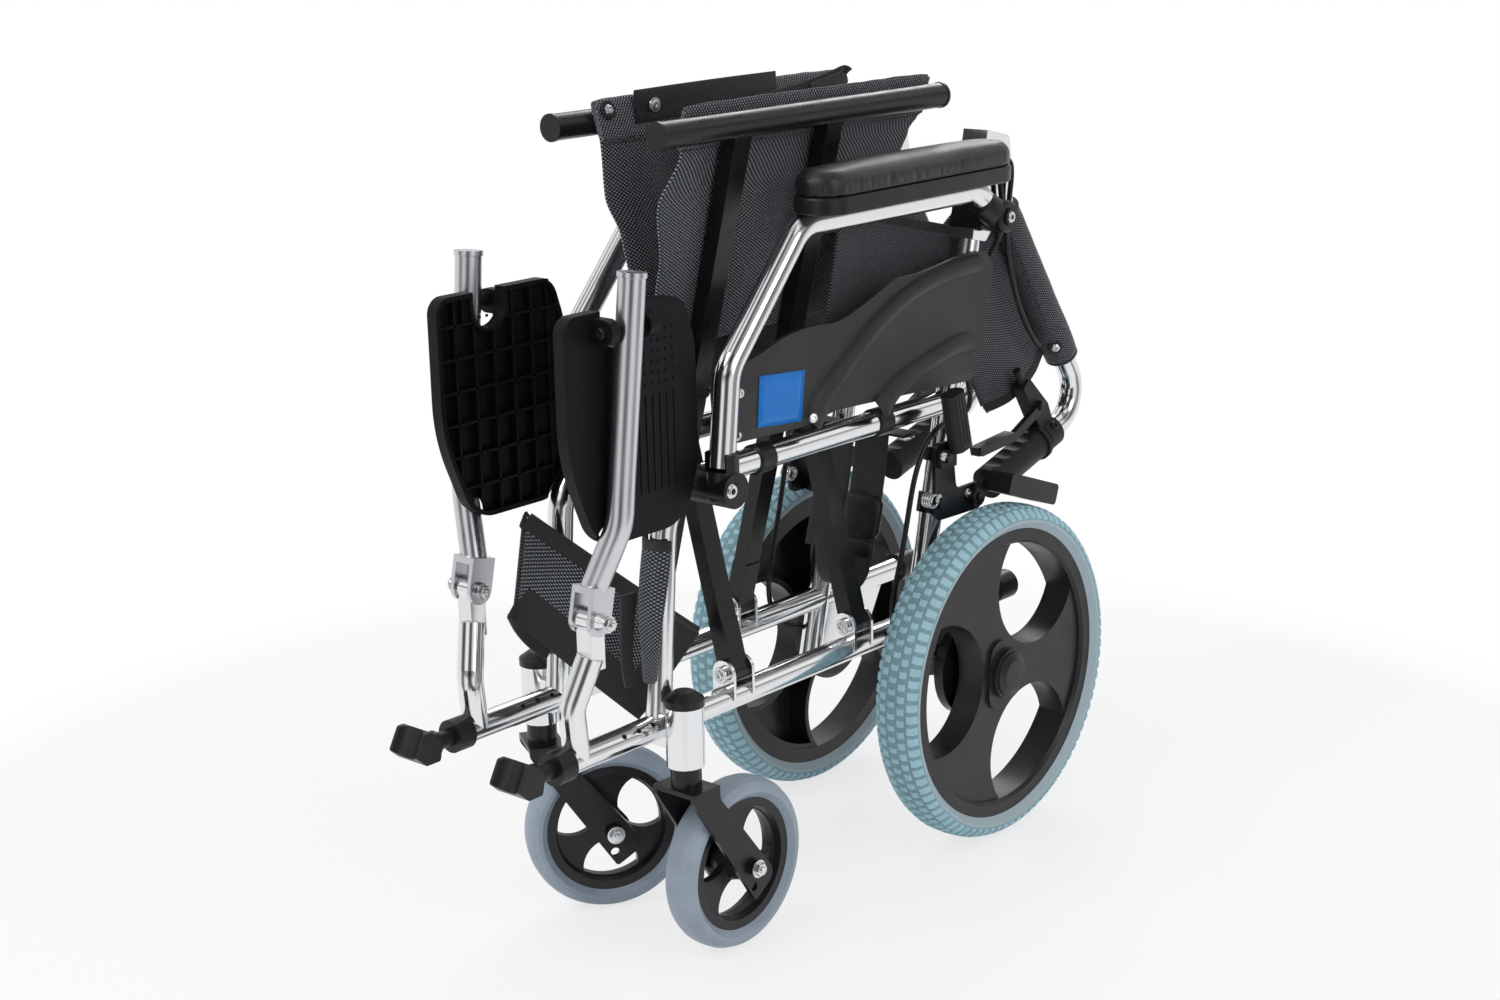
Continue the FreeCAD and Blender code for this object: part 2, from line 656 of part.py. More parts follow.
# ---------------------------------------------------------------- parking brake
def park_mount(frame):
    x0 = MOUNT_X0
    x1 = MOUNT_X0 + MOUNT_T
    ly, lz = LEVER_PIVOT
    sy, sz = SHOE_PIVOT
    outline = [(ly - 12, lz + 14), (ly + 14, lz + 14), (ly + 20, sz + 12), (sy + 12, sz + 12)]
    outline += [(sy + 12, sz - 14), (ly - 12, sz - 12)]
    plate = plate_x(outline, x0, x1, 8.0)
    band_z = sz - 6
    band = rod(on_post(band_z - 9), on_post(band_z + 9), BAND_R)
    band_2 = rod(on_post(lz - 14), on_post(lz - 2), BAND_R)
    y0 = post_y(band_z)
    arm = box(FOLD_HALF + TUBE_R, x0, y0 - 12, y0 + 10, band_z - 8, band_z + 8)
    arm_2 = box(FOLD_HALF + TUBE_R, x0, post_y(lz) - 26, post_y(lz) - 8, lz - 13, lz - 3)
    pins = [rod((x0, y, z), (x1 + 8, y, z), PIN_R) for y, z in (LEVER_PIVOT, SHOE_PIVOT)]
    bolt = rod((x1, ly - 3, sz + 4), (x1 + 3, ly - 3, sz + 4), HEAD_R - 1)
    solid = fuse([plate, band, band_2, arm, arm_2, bolt] + pins)
    return solid.cut(frame)


def park_handle():
    """Cranked lever with the fluted grip."""
    x0 = MOUNT_X0 + MOUNT_T + SEAT_GAP
    x1 = x0 + 4
    y, z = LEVER_PIVOT
    gy, gz = LEVER_GRIP_LOW
    ty, tz = LEVER_GRIP_TOP
    arm = [(y - 9, z - 9), (y + 9, z - 9), (gy + 7, gz + 4), (ty + 8, tz - 12), (ty - 3, tz - 12)]
    arm += [(gy - 7, gz), (y - 9, z + 9)]
    plate = plate_x(arm, x0, x1, 3.0)
    low = V(x0, gy, gz)
    run = V(0, ty - gy, tz - gz)
    along = V(run).normalize()
    fore = V(0, along.z, -along.y) * (PAD_WIDE / 2)
    out = V(PAD_THICK, 0, 0)
    section = [low - fore, low + fore, low + fore + out, low - fore + out]
    pad = prism(section, run, PAD_THICK * 0.42)
    flutes = []
    for k in (-1.5, -0.5, 0.5, 1.5):
        place = low + out + fore * (k * 0.4)
        flutes.append(Part.makeCylinder(FLUTE_R, run.Length, place + along * 6, along))
    bore = rod((x0 - 2, y, z), (x1 + 9, y, z), PIN_R + RUN_FIT)
    return cut(fuse([plate, pad]), flutes + [bore])


def over_tyre(away, angle):
    """Point outside the rear tyre at an angle up from the rear."""
    a = math.radians(angle)
    r = WHEEL_R + away
    return AXLE_Y + r * math.cos(a), AXLE_Z + r * math.sin(a)


def park_shoe():
    """Block that the lever presses onto the tyre, with its bolted arm."""
    x0 = MOUNT_X0 + MOUNT_T + SEAT_GAP
    y, z = SHOE_PIVOT
    fy, fz = over_tyre(SHOE_CLEAR + SHOE_T / 2.0, SHOE_NEAR_ANGLE)
    ty, tz = over_tyre(SHOE_CLOSE + SHOE_T / 2.0, SHOE_FAR_ANGLE)
    run = V(0, ty - fy, tz - fz).normalize()
    up = V(0, -run.z, run.y)
    half = SHOE_T / 2.0
    a = V(SHOE_X0, fy, fz)
    b = V(SHOE_X0, ty, tz)
    pts = [a - up * half, b - up * half, b + up * half, a + up * half]
    block = prism(pts, V(SHOE_X1 - SHOE_X0, 0, 0), 4.0)
    hub = rod((x0, y, z), (x0 + 6, y, z), 9.0)
    p = V(x0, y, z)
    q = V(x0, fy, fz) + run * 14
    link = prism([p - run * 7 + up * 4, p + run * 8 - up * 2, q + run * 4 + up * 5, q - run * 8 + up * 8], V(6, 0, 0))
    web = prism([q - run * 12 + up * 8, q - run * 12, q + run * 4, q + run * 4 + up * 8], V(SHOE_X0 - x0 + 2, 0, 0))
    bore = rod((x0 - 2, y, z), (x0 + 9, y, z), PIN_R + RUN_FIT)
    return fuse([block, hub, link, web]).cut(bore)


# ---------------------------------------------------------------- wheels
def caster_fork():
    """Bent strip fork and its stem, trailing straight back."""
    top = HOUSING_LOW - SEAT_GAP
    crown_low = CASTER_R * 2 + 8.0
    half = CASTER_W / 2.0 + FORK_GAP
    y = CASTER_Y
    wy = CASTER_Y + CASTER_TRAIL
    stem = rod((CASTER_X, y, crown_low), (CASTER_X, y, HOUSING_TOP - SEAT_GAP), STEM_R)
    seat = rod((CASTER_X, y, crown_low), (CASTER_X, y, top), HOUSING_R - 3)
    crown = box(CASTER_X - half - FORK_T, CASTER_X + half + FORK_T, y - FORK_W / 2, y + FORK_W / 2,
                crown_low, crown_low + FORK_T)
    run = V(0, wy - y, CASTER_R - crown_low).normalize()
    across = V(0, -run.z, run.y)
    tail = V(0, wy, CASTER_R) + run * FORK_TAIL
    blades = []
    for side in (-1, 1):
        x0 = min(CASTER_X + side * half, CASTER_X + side * (half + FORK_T))
        front = V(x0, tail.y, tail.z) - across * (FORK_W / 2)
        rear = V(x0, tail.y, tail.z) + across * (FORK_W / 2)
        head_f = V(x0, y - FORK_W / 2, crown_low + FORK_T)
        head_r = V(x0, y + FORK_W / 2, crown_low + FORK_T)
        pts = [head_f, head_f - V(0, 0, 2 * FORK_T), front, rear, head_r - V(0, 0, 3 * FORK_T), head_r]
        blade = prism(pts, V(FORK_T, 0, 0), [1.0, 8.0, 3.0, 10.0, 12.0, 1.0])
        spare = rod((x0 - 1, wy, CASTER_R - SPARE_DROP), (x0 + FORK_T + 1, wy, CASTER_R - SPARE_DROP), SPARE_HOLE_R)
        blades.append(blade.cut(spare))
    a = CASTER_X - half - FORK_T
    b = CASTER_X + half + FORK_T
    axle = rod((a - 5, wy, CASTER_R), (b + 5, wy, CASTER_R), PIN_R)
    heads = [rod((a - 5, wy, CASTER_R), (a, wy, CASTER_R), HEAD_R)]
    heads.append(rod((b, wy, CASTER_R), (b + 5, wy, CASTER_R), HEAD_R))
    return fuse([stem, seat, crown, axle] + blades + heads)


def openings(x0, x1, y, z, size, at_r, limit_r, first):
    """Cutters for the round-sided openings between the spokes."""
    disc = rod((x0, y, z), (x1, y, z), limit_r)
    out = []
    for i in range(SPOKES):
        a = math.radians(first + i * 360.0 / SPOKES)
        cy = y + at_r * math.cos(a)
        cz = z + at_r * math.sin(a)
        out.append(rod((x0, cy, cz), (x1, cy, cz), size).common(disc))
    return out


def caster_hub():
    y = CASTER_Y + CASTER_TRAIL
    x = CASTER_X
    z = CASTER_R
    half = CASTER_W / 2.0
    bore = rod((x - half - 1, y, z), (x + half + 1, y, z), PIN_R + RUN_FIT)
    w = CASTER_SKIN_T / 2.0
    prof = [(x - half, 0), (x - half, CASTER_HUB_R - 2), (x - w, CASTER_HUB_R + 2), (x - w, CASTER_BAND_R - 2)]
    prof += [(x - 11, CASTER_BAND_R), (x - 11, CASTER_RIM_R), (x + 11, CASTER_RIM_R), (x + 11, CASTER_BAND_R)]
    prof += [(x + w, CASTER_BAND_R - 2), (x + w, CASTER_HUB_R + 2), (x + half, CASTER_HUB_R - 2), (x + half, 0)]
    body = ring_x(prof, y, z)
    at_r = CASTER_BAND_R - CASTER_WINDOW_SINK
    holes = openings(x - half, x + half, y, z, CASTER_WINDOW_R, at_r, CASTER_BAND_R - 3, CASTER_WINDOW_ANGLE)
    return cut(body, holes + [bore])


def rounded_tyre(x, y, z, r_out, r_bed, width, bed):
    """Ring with a rounded crown."""
    h = width / 2.0
    d = r_out - r_bed
    prof = [(x - bed, r_bed), (x - h, r_bed + 0.30 * d), (x - h, r_bed + 0.52 * d)]
    prof += [(x - 0.78 * h, r_bed + 0.82 * d), (x - 0.42 * h, r_bed + 0.97 * d), (x, r_out)]
    prof += [(x + 0.42 * h, r_bed + 0.97 * d), (x + 0.78 * h, r_bed + 0.82 * d)]
    prof += [(x + h, r_bed + 0.52 * d), (x + h, r_bed + 0.30 * d), (x + bed, r_bed)]
    return ring_x(prof, y, z)


def caster_tyre():
    y = CASTER_Y + CASTER_TRAIL
    return rounded_tyre(CASTER_X, y, CASTER_R, CASTER_R, CASTER_RIM_R, CASTER_W, 11.0)


def rear_hub():
    """Three-spoke wheel centre: flat face, walls round the openings, deep rim and a domed cap."""
    x = WHEEL_X
    y = AXLE_Y
    z = AXLE_Z
    h = RIM_W / 2.0
    face = x + h - 5.0
    inner = face - WEB_DEPTH
    rim = ring_x([(x - h, RIM_IN_R), (x - h, TYRE_BED_R), (x + h, TYRE_BED_R), (x + h, RIM_IN_R + 3),
                  (x + h - 3, RIM_IN_R)], y, z)
    disc = rod((inner, y, z), (face, y, z), RIM_IN_R + 1)
    pocket = rod((inner - 1, y, z), (face - SKIN_T, y, z), RIM_IN_R - WALL_T)
    keep = openings(inner - 2, face, y, z, WINDOW_R + WALL_T, WINDOW_AT_R, RIM_IN_R, WINDOW_ANGLE)
    keep.append(rod((inner - 2, y, z), (face, y, z), HUB_R))
    pocket = cut(pocket, keep)
    holes = openings(inner - 2, face + 2, y, z, WINDOW_R, WINDOW_AT_R, RIM_IN_R, WINDOW_ANGLE)
    plateau = []
    for i in range(SPOKES):
        a = math.radians(WINDOW_ANGLE + 60.0 + i * 360.0 / SPOKES)
        plateau.append(V(face - 1, y + PLATEAU_R * math.cos(a), z + PLATEAU_R * math.sin(a)))
    raised = prism(plateau, V(4.0, 0, 0), 16.0)
    c = x + HUB_HALF
    barrel = rod((x - HUB_HALF, y, z), (c, y, z), HUB_CAP_R + 2)
    cap = ring_x([(c - 4, 0), (c - 4, HUB_CAP_R), (c + 2, HUB_CAP_R - 1), (c + 5, HUB_CAP_R - 8), (c + 5.5, 0)], y, z)
    bore = rod((x - HUB_HALF - 1, y, z), (c, y, z), AXLE_R + RUN_FIT)
    body = cut(disc, [pocket] + holes)
    return cut(fuse([rim, body, raised, barrel, cap]), [bore])


def rear_tyre():
    return rounded_tyre(WHEEL_X, AXLE_Y, AXLE_Z, WHEEL_R, TYRE_BED_R, TYRE_W, RIM_W / 2.0)


# ---------------------------------------------------------------- cross brace
def brace(bar_ys, carries_pins, partner_ys):
    """Seat rail on two bars that lean from the opposite side frame."""
    foot = V(-FOLD_HALF, 0, BRACE_PIVOT_Z)
    top = V(FOLD_HALF, 0, RAIL_Z)
    lean = (top - foot).normalize()
    across = V(lean.z, 0, -lean.x)
    pieces = [rod((FOLD_HALF, RAIL_FRONT_Y, RAIL_Z), (FOLD_HALF, RAIL_REAR_Y, RAIL_Z), TUBE_R)]
    for end, sign in ((RAIL_FRONT_Y, -1), (RAIL_REAR_Y, 1)):
        pieces.append(rod((FOLD_HALF, end, RAIL_Z), (FOLD_HALF, end + sign * PLUG_T, RAIL_Z), TUBE_R + 0.6))
    bores = []
    for y in bar_ys:
        y0 = y - BAR_D / 2.0
        push = V(0, BAR_D, 0)
        for half, reach in ((BAR_T / 2.0, BRACE_LEN), (BAR_END_T / 2.0, BAR_END_LEN)):
            a = foot + V(0, y0, 0)
            b = a + lean * reach
            pts = [a - across * half, b - across * half, b + across * half, a + across * half]
            pieces.append(prism(pts, push))
        pieces.append(Part.makeCylinder(BAR_END_R, BAR_D, foot + V(0, y0, 0), V(0, 1, 0)))
        bores.append(Part.makeCylinder(PIN_R + RUN_FIT, BAR_D + 4, foot + V(0, y0 - 2, 0), V(0, 1, 0)))
    for y, other in zip(bar_ys, partner_ys):
        if carries_pins:
            s = 1 if other > y else -1
            reach = other + s * (BAR_D / 2.0 + 0.4)
            pieces.append(rod((0, y, CROSS_Z), (0, reach + s * HEAD_T, CROSS_Z), CROSS_PIN_R))
            pieces.append(rod((0, reach, CROSS_Z), (0, reach + s * HEAD_T, CROSS_Z), HEAD_R))
        else:
            bores.append(rod((0, y - BAR_D, CROSS_Z), (0, y + BAR_D, CROSS_Z), CROSS_PIN_R + RUN_FIT))
    return cut(fuse(pieces), bores)


def seat_half():
    """Half of the folded seat cloth, hanging inside its rail."""
    hinge = V(FOLD_HALF - TUBE_R - SEAT_GAP - SEAT_T / 2.0, SEAT_FRONT_Y, RAIL_Z)
    run = hinge.x - SEAT_GAP_MID
    drop = math.sqrt(SEAT_LEN ** 2 - run ** 2)
    tip = V(SEAT_GAP_MID, SEAT_FRONT_Y, RAIL_Z - drop)
    along = (tip - hinge).normalize()
    side = V(along.z, 0, -along.x) * (SEAT_T / 2.0)
    push = V(0, SEAT_REAR_Y - SEAT_FRONT_Y, 0)
    sheet = prism([hinge - side, tip - side, tip + side, hinge + side], push)
    hem = Part.makeCylinder(SEAT_T / 2.0, push.Length, hinge, V(0, 1, 0))
    return sheet.fuse(hem)


# ---------------------------------------------------------------- back
def back_path():
    a = on_back(-STUB)
    return [(a.x, a.y, a.z), (FOLD_HALF, TUBE_KNEE_Y, TUBE_KNEE_Z), (FOLD_HALF, HANDLE_END_Y, HANDLE_END_Z)]


def back_tube():
    pipe = tube(back_path(), TUBE_R, KNEE_R)
    dome = Part.makeCone(TUBE_R, TUBE_R - 4, PLUG_DOME, on_back(-STUB), -BACK_DIR)
    bore = rod((0, PIVOT_Y, PIVOT_Z), (2 * FOLD_HALF, PIVOT_Y, PIVOT_Z), PIN_R + RUN_FIT)
    return pipe.fuse(dome).cut(bore)


def handle_dir():
    return V(0, HANDLE_END_Y - TUBE_KNEE_Y, HANDLE_END_Z - TUBE_KNEE_Z).normalize()


def handle_up():
    d = handle_dir()
    n = V(0, -d.z, d.y)
    return n if n.z > 0 else n * -1.0


def grip(back):
    d = handle_dir()
    end = V(FOLD_HALF, HANDLE_END_Y, HANDLE_END_Z)
    start = end - d * (GRIP_LEN - 4.0)
    body = Part.makeCylinder(GRIP_R, GRIP_LEN, start, d)
    n = handle_up()
    hollows = []
    for k in range(4):
        place = start + d * (GRIP_LEN * (0.26 + 0.19 * k)) + n * (GRIP_R + HOLLOW_R - HOLLOW_DEEP)
        hollows.append(Part.makeCylinder(HOLLOW_R, 4 * GRIP_R, place - V(2 * GRIP_R, 0, 0), V(1, 0, 0)))
    body = cut(body, hollows)
    flange = Part.makeCylinder(GRIP_R + 2.5, 5, start, d)
    ring = Part.makeCylinder(GRIP_R, 20, start - d * 24, d)
    root = start - d * CLAMP_W
    rise = n * HOOD_TALL
    pts = [root + d * 9, root - d * 9, root - d * 4 + rise * 0.47, root + d * 18 + rise]
    pts += [root + d * 30 + rise * 0.92, root + d * 20 + rise * 0.42]
    arm = prism([p + V(-CLAMP_W / 2.0, 0, 0) for p in pts], V(CLAMP_W, 0, 0), 4.0)
    barrel = rod(tuple(root + d * 22 + rise * 0.92), tuple(root + d * 27 + rise * 1.17), 4.0)
    p = lever_pivot()
    pin = rod((FOLD_HALF, p.y, p.z), (FOLD_HALF + CLAMP_W / 2.0 + LEVER_T + 2.0, p.y, p.z), 3.0)
    clamp = fuse([ring, arm, barrel, pin]).cut(back)
    return Part.makeCompound([fuse([body, flange]).cut(back), clamp])


def lever_pivot():
    d = handle_dir()
    start = V(FOLD_HALF, HANDLE_END_Y, HANDLE_END_Z) - d * (GRIP_LEN - 4.0)
    return start + d * 2 + handle_up() * LEVER_RISE


def brake_lever():
    """Hand lever ahead of the grip."""
    d = handle_dir()
    n = handle_up()
    p = lever_pivot()
    x0 = FOLD_HALF + CLAMP_W / 2.0 + SEAT_GAP
    half = LEVER_W / 2.0
    a = V(x0, p.y, p.z)
    b = a + d * 46 - n * 8
    c = b + d * 56 + n * 12
    outline = [a - d * 8 + n * half, b + n * half, c + n * half, c - n * half, b - n * half, a - d * 8 - n * half]
    blade = prism(outline, V(LEVER_T, 0, 0), 3.0)
    wide = prism([b + n * half, c + n * half, c - n * half, b - n * half], V(-10, 0, 0))
    bore = rod((x0 - 2, p.y, p.z), (x0 + LEVER_T + 4, p.y, p.z), 3.0 + RUN_FIT)
    return fuse([blade, wide.translate(V(3, 0, 0))]).cut(bore)


def back_sleeve(back):
    return Part.makeCylinder(SLEEVE_R, SLEEVE_LEN, on_back(SLEEVE_FROM), BACK_DIR).cut(back)


def back_low():
    """Lower half-width of the back cloth, folded forward from the post."""
    pts = [on_post(LOW_FROM_Z, 0), on_post(LOW_TO_Z, 0)]
    pts += [on_post(LOW_TO_Z, LOW_WIDE), on_post(LOW_FROM_Z, LOW_WIDE)]
    sheet = prism([V(LOW_X, q[1], q[2]) for q in pts], V(LOW_T, 0, 0))
    hem = [on_post(LOW_FROM_Z, -4), on_post(LOW_TO_Z, -4), on_post(LOW_TO_Z, 4), on_post(LOW_FROM_Z, 4)]
    reach = FOLD_HALF - TUBE_R - SEAT_GAP - LOW_X
    return fuse([sheet, prism([V(LOW_X, q[1], q[2]) for q in hem], V(reach, 0, 0))])


def back_up(x):
    """A quarter-width of the upper back cloth beside the dropped tube."""
    pts = [on_back(UP_FROM, 0, x), on_back(UP_FROM + UP_LEN, 0, x)]
    pts += [on_back(UP_FROM + UP_LEN, UP_WIDE, x), on_back(UP_FROM, UP_WIDE, x)]
    return prism(pts, V(UP_T, 0, 0))


def back_up_outer():
    """Outer quarter with the hem that lies against the tube's sleeve."""
    top = SLEEVE_FROM
    end = UP_FROM + UP_LEN
    hem = [on_back(top, 0, UP_OUT_X), on_back(end, 0, UP_OUT_X), on_back(end, 8, UP_OUT_X), on_back(top, 8, UP_OUT_X)]
    reach = FOLD_HALF - SLEEVE_R - SEAT_GAP - UP_OUT_X
    return fuse([back_up(UP_OUT_X), prism(hem, V(reach, 0, 0))])


# ---------------------------------------------------------------- armrest
def arm_tube():
    pts = [(ARM_X, LEG_LOW_Y, LEG_LOW_Z), (ARM_X, LEG_MID_Y, LEG_MID_Z), (ARM_X, ARM_FRONT_Y, ARM_Z)]
    pts += [(ARM_X, ARM_BACK_Y, ARM_Z), (ARM_X, ARM_PIVOT_Y, ARM_PIVOT_Z)]
    pipe = tube(pts, TUBE_R, ARM_BEND_R)
    boss = rod((ARM_BOSS_X0, ARM_PIVOT_Y, ARM_PIVOT_Z), (ARM_BOSS_X1, ARM_PIVOT_Y, ARM_PIVOT_Z), ARM_BOSS_R)
    bore = rod((ARM_BOSS_X0 - 3, ARM_PIVOT_Y, ARM_PIVOT_Z), (ARM_BOSS_X1 + 3, ARM_PIVOT_Y, ARM_PIVOT_Z),
               ARM_PIN_R + RUN_FIT)
    return pipe.fuse(boss).cut(bore)


def rounded_slab(x0, x1, y0, y1, z0, z1, corner):
    pts = [V(x0, y0, z0), V(x1, y0, z0), V(x1, y1, z0), V(x0, y1, z0)]
    return prism(pts, V(0, 0, z1 - z0), corner)


def arm_pad(arm):
    z1 = PAD_BASE_Z + PAD_BASE_T
    base = rounded_slab(PAD_X0, PAD_X1, PAD_FRONT_Y, PAD_REAR_Y, PAD_BASE_Z, z1, PAD_CORNER_R)
    c = PAD_CROWN
    cushion = rounded_slab(PAD_X0, PAD_X1, PAD_FRONT_Y, PAD_REAR_Y, z1, PAD_TOP_Z - c, PAD_CORNER_R)
    crown = rounded_slab(PAD_X0 + c, PAD_X1 - c, PAD_FRONT_Y + c, PAD_REAR_Y - c, PAD_TOP_Z - c, PAD_TOP_Z,
                         PAD_CORNER_R - c)
    return fuse([base, cushion, crown]).cut(arm)


# side panel as shares of its length and height: upper edge, lower edge, then the raised bands
PANEL_TOP = [(0.0, 0.60), (0.077, 0.623), (0.131, 0.648), (0.213, 0.721), (0.290, 0.762), (0.359, 0.762),
             (0.413, 0.754), (0.479, 0.803), (0.556, 0.885), (0.618, 0.951), (0.690, 0.959), (0.741, 0.967),
             (0.823, 1.0), (0.974, 1.0)]
PANEL_FOOT = [(1.0, 0.885), (0.962, 0.44), (0.921, 0.041), (0.415, 0.115), (0.297, 0.066), (0.069, 0.09),
              (0.012, 0.13)]
BAND_UPPER = [(0.326, 0.08, 1.12), (0.372, 0.254, 1.27), (0.426, 0.385, 1.1), (0.503, 0.557, 1.0),
              (0.587, 0.713, 0.95), (0.672, 0.820, 0.91), (0.731, 0.869, 0.88), (0.831, 0.918, 0.9),
              (0.941, 0.922, 0.9)]
BAND_LOWER = [(0.569, 0.025, 1.2), (0.605, 0.131, 1.09), (0.646, 0.197, 1.0), (0.726, 0.270, 0.95),
              (0.808, 0.328, 0.91), (0.918, 0.325, 0.73)]


def on_panel(a, b, x):
    return V(x, PANEL_Y + a * PANEL_LONG, PANEL_Z + b * PANEL_TALL)


def panel_plate():
    """Sheet with a curved upper edge, its foot bevelled on the outside."""
    top = Part.BSplineCurve()
    top.interpolate([on_panel(a, b, PANEL_X) for a, b in PANEL_TOP])
    foot = [on_panel(a, b, PANEL_X) for a, b in PANEL_FOOT]
    edges = [top.toShape(), Part.makeLine(top.EndPoint, foot[0])]
    edges += [Part.makeLine(a, b) for a, b in zip(foot, foot[1:])]
    edges.append(Part.makeLine(foot[-1], top.StartPoint))
    sheet = Part.Face(Part.Wire(edges)).extrude(V(PANEL_T, 0, 0))
    bevels = []
    for a, b in zip(foot[2:5], foot[3:6]):
        start = a + (a - b) * 0.02
        low = start + V(PANEL_T - PANEL_BEVEL / 3.0, 0, -1)
        pts = [low, low + V(PANEL_BEVEL, 0, 0), start + V(PANEL_T, 0, PANEL_BEVEL)]
        bevels.append(prism(pts, (b - a) * 1.04))
    return cut(sheet, bevels)


def domed_band(stations):
    """Raised band with a round back, from (share, share, width) stations."""
    root = PANEL_X + PANEL_T - PANEL_GRIP
    mid = [on_panel(a, b, root) for a, b, w in stations]
    wires = []
    for i, (a, b, w) in enumerate(stations):
        run = (mid[min(i + 1, len(mid) - 1)] - mid[max(i - 1, 0)]).normalize()
        side = V(0, -run.z, run.y) * (w * BAND_HALF)
        crown = mid[i] + V(PANEL_GRIP + BAND_OUT, 0, 0)
        arc = Part.Arc(mid[i] - side, crown, mid[i] + side).toShape()
        wires.append(Part.Wire([arc, Part.makeLine(mid[i] + side, mid[i] - side)]))
    return Part.makeLoft(wires, True)


def side_panel(arm):
    clips = []
    for low in (CLIP_LOW, CLIP_LOW + CLIP_PITCH):
        y = LEG_LOW_Y + 7.0
        z = PANEL_Z + low
        clips.append(box(PANEL_X + PANEL_T - 1, ARM_X, y - 4, y + TUBE_R + 4, z - CLIP_TALL / 2, z + CLIP_TALL / 2))
    return fuse([panel_plate(), domed_band(BAND_UPPER), domed_band(BAND_LOWER)] + clips).cut(arm)


# ---------------------------------------------------------------- footrest
def foot_path():
    """Footrest tube's axis from the clevis to its capped top."""
    rise = V(0, FOOT_P1[1] - HINGE_Y, FOOT_P1[2] - HINGE_Z).normalize()
    start = V(HINGE_X, HINGE_Y, HINGE_Z) + rise * (LUG_REACH - 3)
    return [tuple(start), FOOT_P1, FOOT_TOP]


def footrest_tube():
    """Swinging tube with the clevis that straddles the riser's tongue."""
    x, y, z = HINGE_X, HINGE_Y, HINGE_Z
    p1 = V(*FOOT_P1)
    up = V(0, p1.y - y, p1.z - z).normalize()
    fore = V(0, -up.z, up.y)
    inner = TONGUE_W / 2.0 + SEAT_GAP
    out = []
    for side in (-1, 1):
        x0 = x + side * inner
        a = V(x0, y, z)
        top = a + up * LUG_REACH
        pts = [a - fore * LUG_R, a + fore * LUG_R, top + fore * LUG_R, top - fore * LUG_R]
        out.append(prism(pts, V(side * LUG_T, 0, 0)))
        out.append(rod((x0, y, z), (x0 + side * LUG_T, y, z), LUG_R))
    a = V(x - inner - LUG_T, y, z) + up * (LUG_REACH - 6)
    pts = [a - fore * LUG_R, a + fore * LUG_R, a + fore * LUG_R + up * 6, a - fore * LUG_R + up * 6]
    out.append(prism(pts, V(2 * (inner + LUG_T), 0, 0)))
    pipe = tube(foot_path(), TUBE_R, FOOT_BEND_R)
    top_dir = V(*FOOT_TOP) - p1
    cap = Part.makeCylinder(FOOT_CAP_R, FOOT_CAP_T, V(*FOOT_TOP), top_dir)
    out += [pipe, cap]
    bore = rod((x - 30, y, z), (x + 30, y, z), PIN_R + RUN_FIT)
    hole_y = FLAP_TUBE_Y
    flap = rod((FLAP_X, hole_y - 30, FLAP_Z), (FLAP_X, hole_y + 30, FLAP_Z), FLAP_PIN_R + RUN_FIT)
    return cut(fuse(out), [bore, flap])


# corners of the footplate as shares of its width and height, with their radii
PLATE_SHAPE = [(0.0, 1.0, 14.0), (0.0, 0.39, 150.0), (0.20, 0.0, 34.0), (0.88, 0.0, 35.0), (1.0, 0.26, 90.0),
               (0.993, 0.79, 80.0), (0.905, 1.0, 22.0)]


def plate_face(x):
    pts = [V(x, PLATE_Y + a * PLATE_WIDE, PLATE_Z + b * PLATE_TALL) for a, b, r in PLATE_SHAPE]
    return outline_face(pts, [r for a, b, r in PLATE_SHAPE])


def footplate(foot_tube):
    """Folding footplate: tread skin outside, hollow inside, notch around the tube."""
    skin_x = PLATE_X
    x0 = skin_x - PLATE_RIM
    solid = plate_face(x0).extrude(V(PLATE_RIM, 0, 0))
    inside = plate_face(x0 - 1).makeOffset2D(-PLATE_WALL)
    pocket = inside.extrude(V(PLATE_RIM + 1 - PLATE_SKIN, 0, 0))
    body = solid.cut(pocket)
    rim_hi = rod((x0, FLAP_TUBE_Y, FLAP_Z), (skin_x, FLAP_TUBE_Y, FLAP_Z), NOTCH_R + NOTCH_WALL)
    gap = rod((x0 - 2, FLAP_TUBE_Y, FLAP_Z), (skin_x + 20, FLAP_TUBE_Y, FLAP_Z), NOTCH_R)
    wall = NOTCH_R + NOTCH_WALL
    slot_top = max(PLATE_Z + PLATE_TALL, FLAP_Z + wall) + 1
    slot = box(x0 - 2, skin_x + 20, FLAP_TUBE_Y - NOTCH_R, FLAP_TUBE_Y + NOTCH_R, FLAP_Z, slot_top)
    rim_box = box(x0, skin_x, FLAP_TUBE_Y - wall, FLAP_TUBE_Y + wall, FLAP_Z, PLATE_Z + PLATE_TALL)
    ears = []
    for side in (-1, 1):
        a = FLAP_TUBE_Y + side * NOTCH_R
        b = a + side * 9.0
        ears.append(rod((FLAP_X, a, FLAP_Z), (FLAP_X, b, FLAP_Z), 10.0))
        ears.append(box(x0 + 4, FLAP_X, min(a, b), max(a, b), FLAP_Z - 10, FLAP_Z + 10))
    body = body.fuse([rim_hi, rim_box] + ears)
    pin = rod((FLAP_X, FLAP_TUBE_Y - NOTCH_R - 12, FLAP_Z), (FLAP_X, FLAP_TUBE_Y + NOTCH_R + 12, FLAP_Z),
              FLAP_PIN_R)
    room = tube_room(1.5).fuse(rail_room())
    shank = tube(foot_path(), TUBE_R + 1.5, FOOT_BEND_R)
    return cut(body, [gap, slot, room, shank]).fuse(pin)


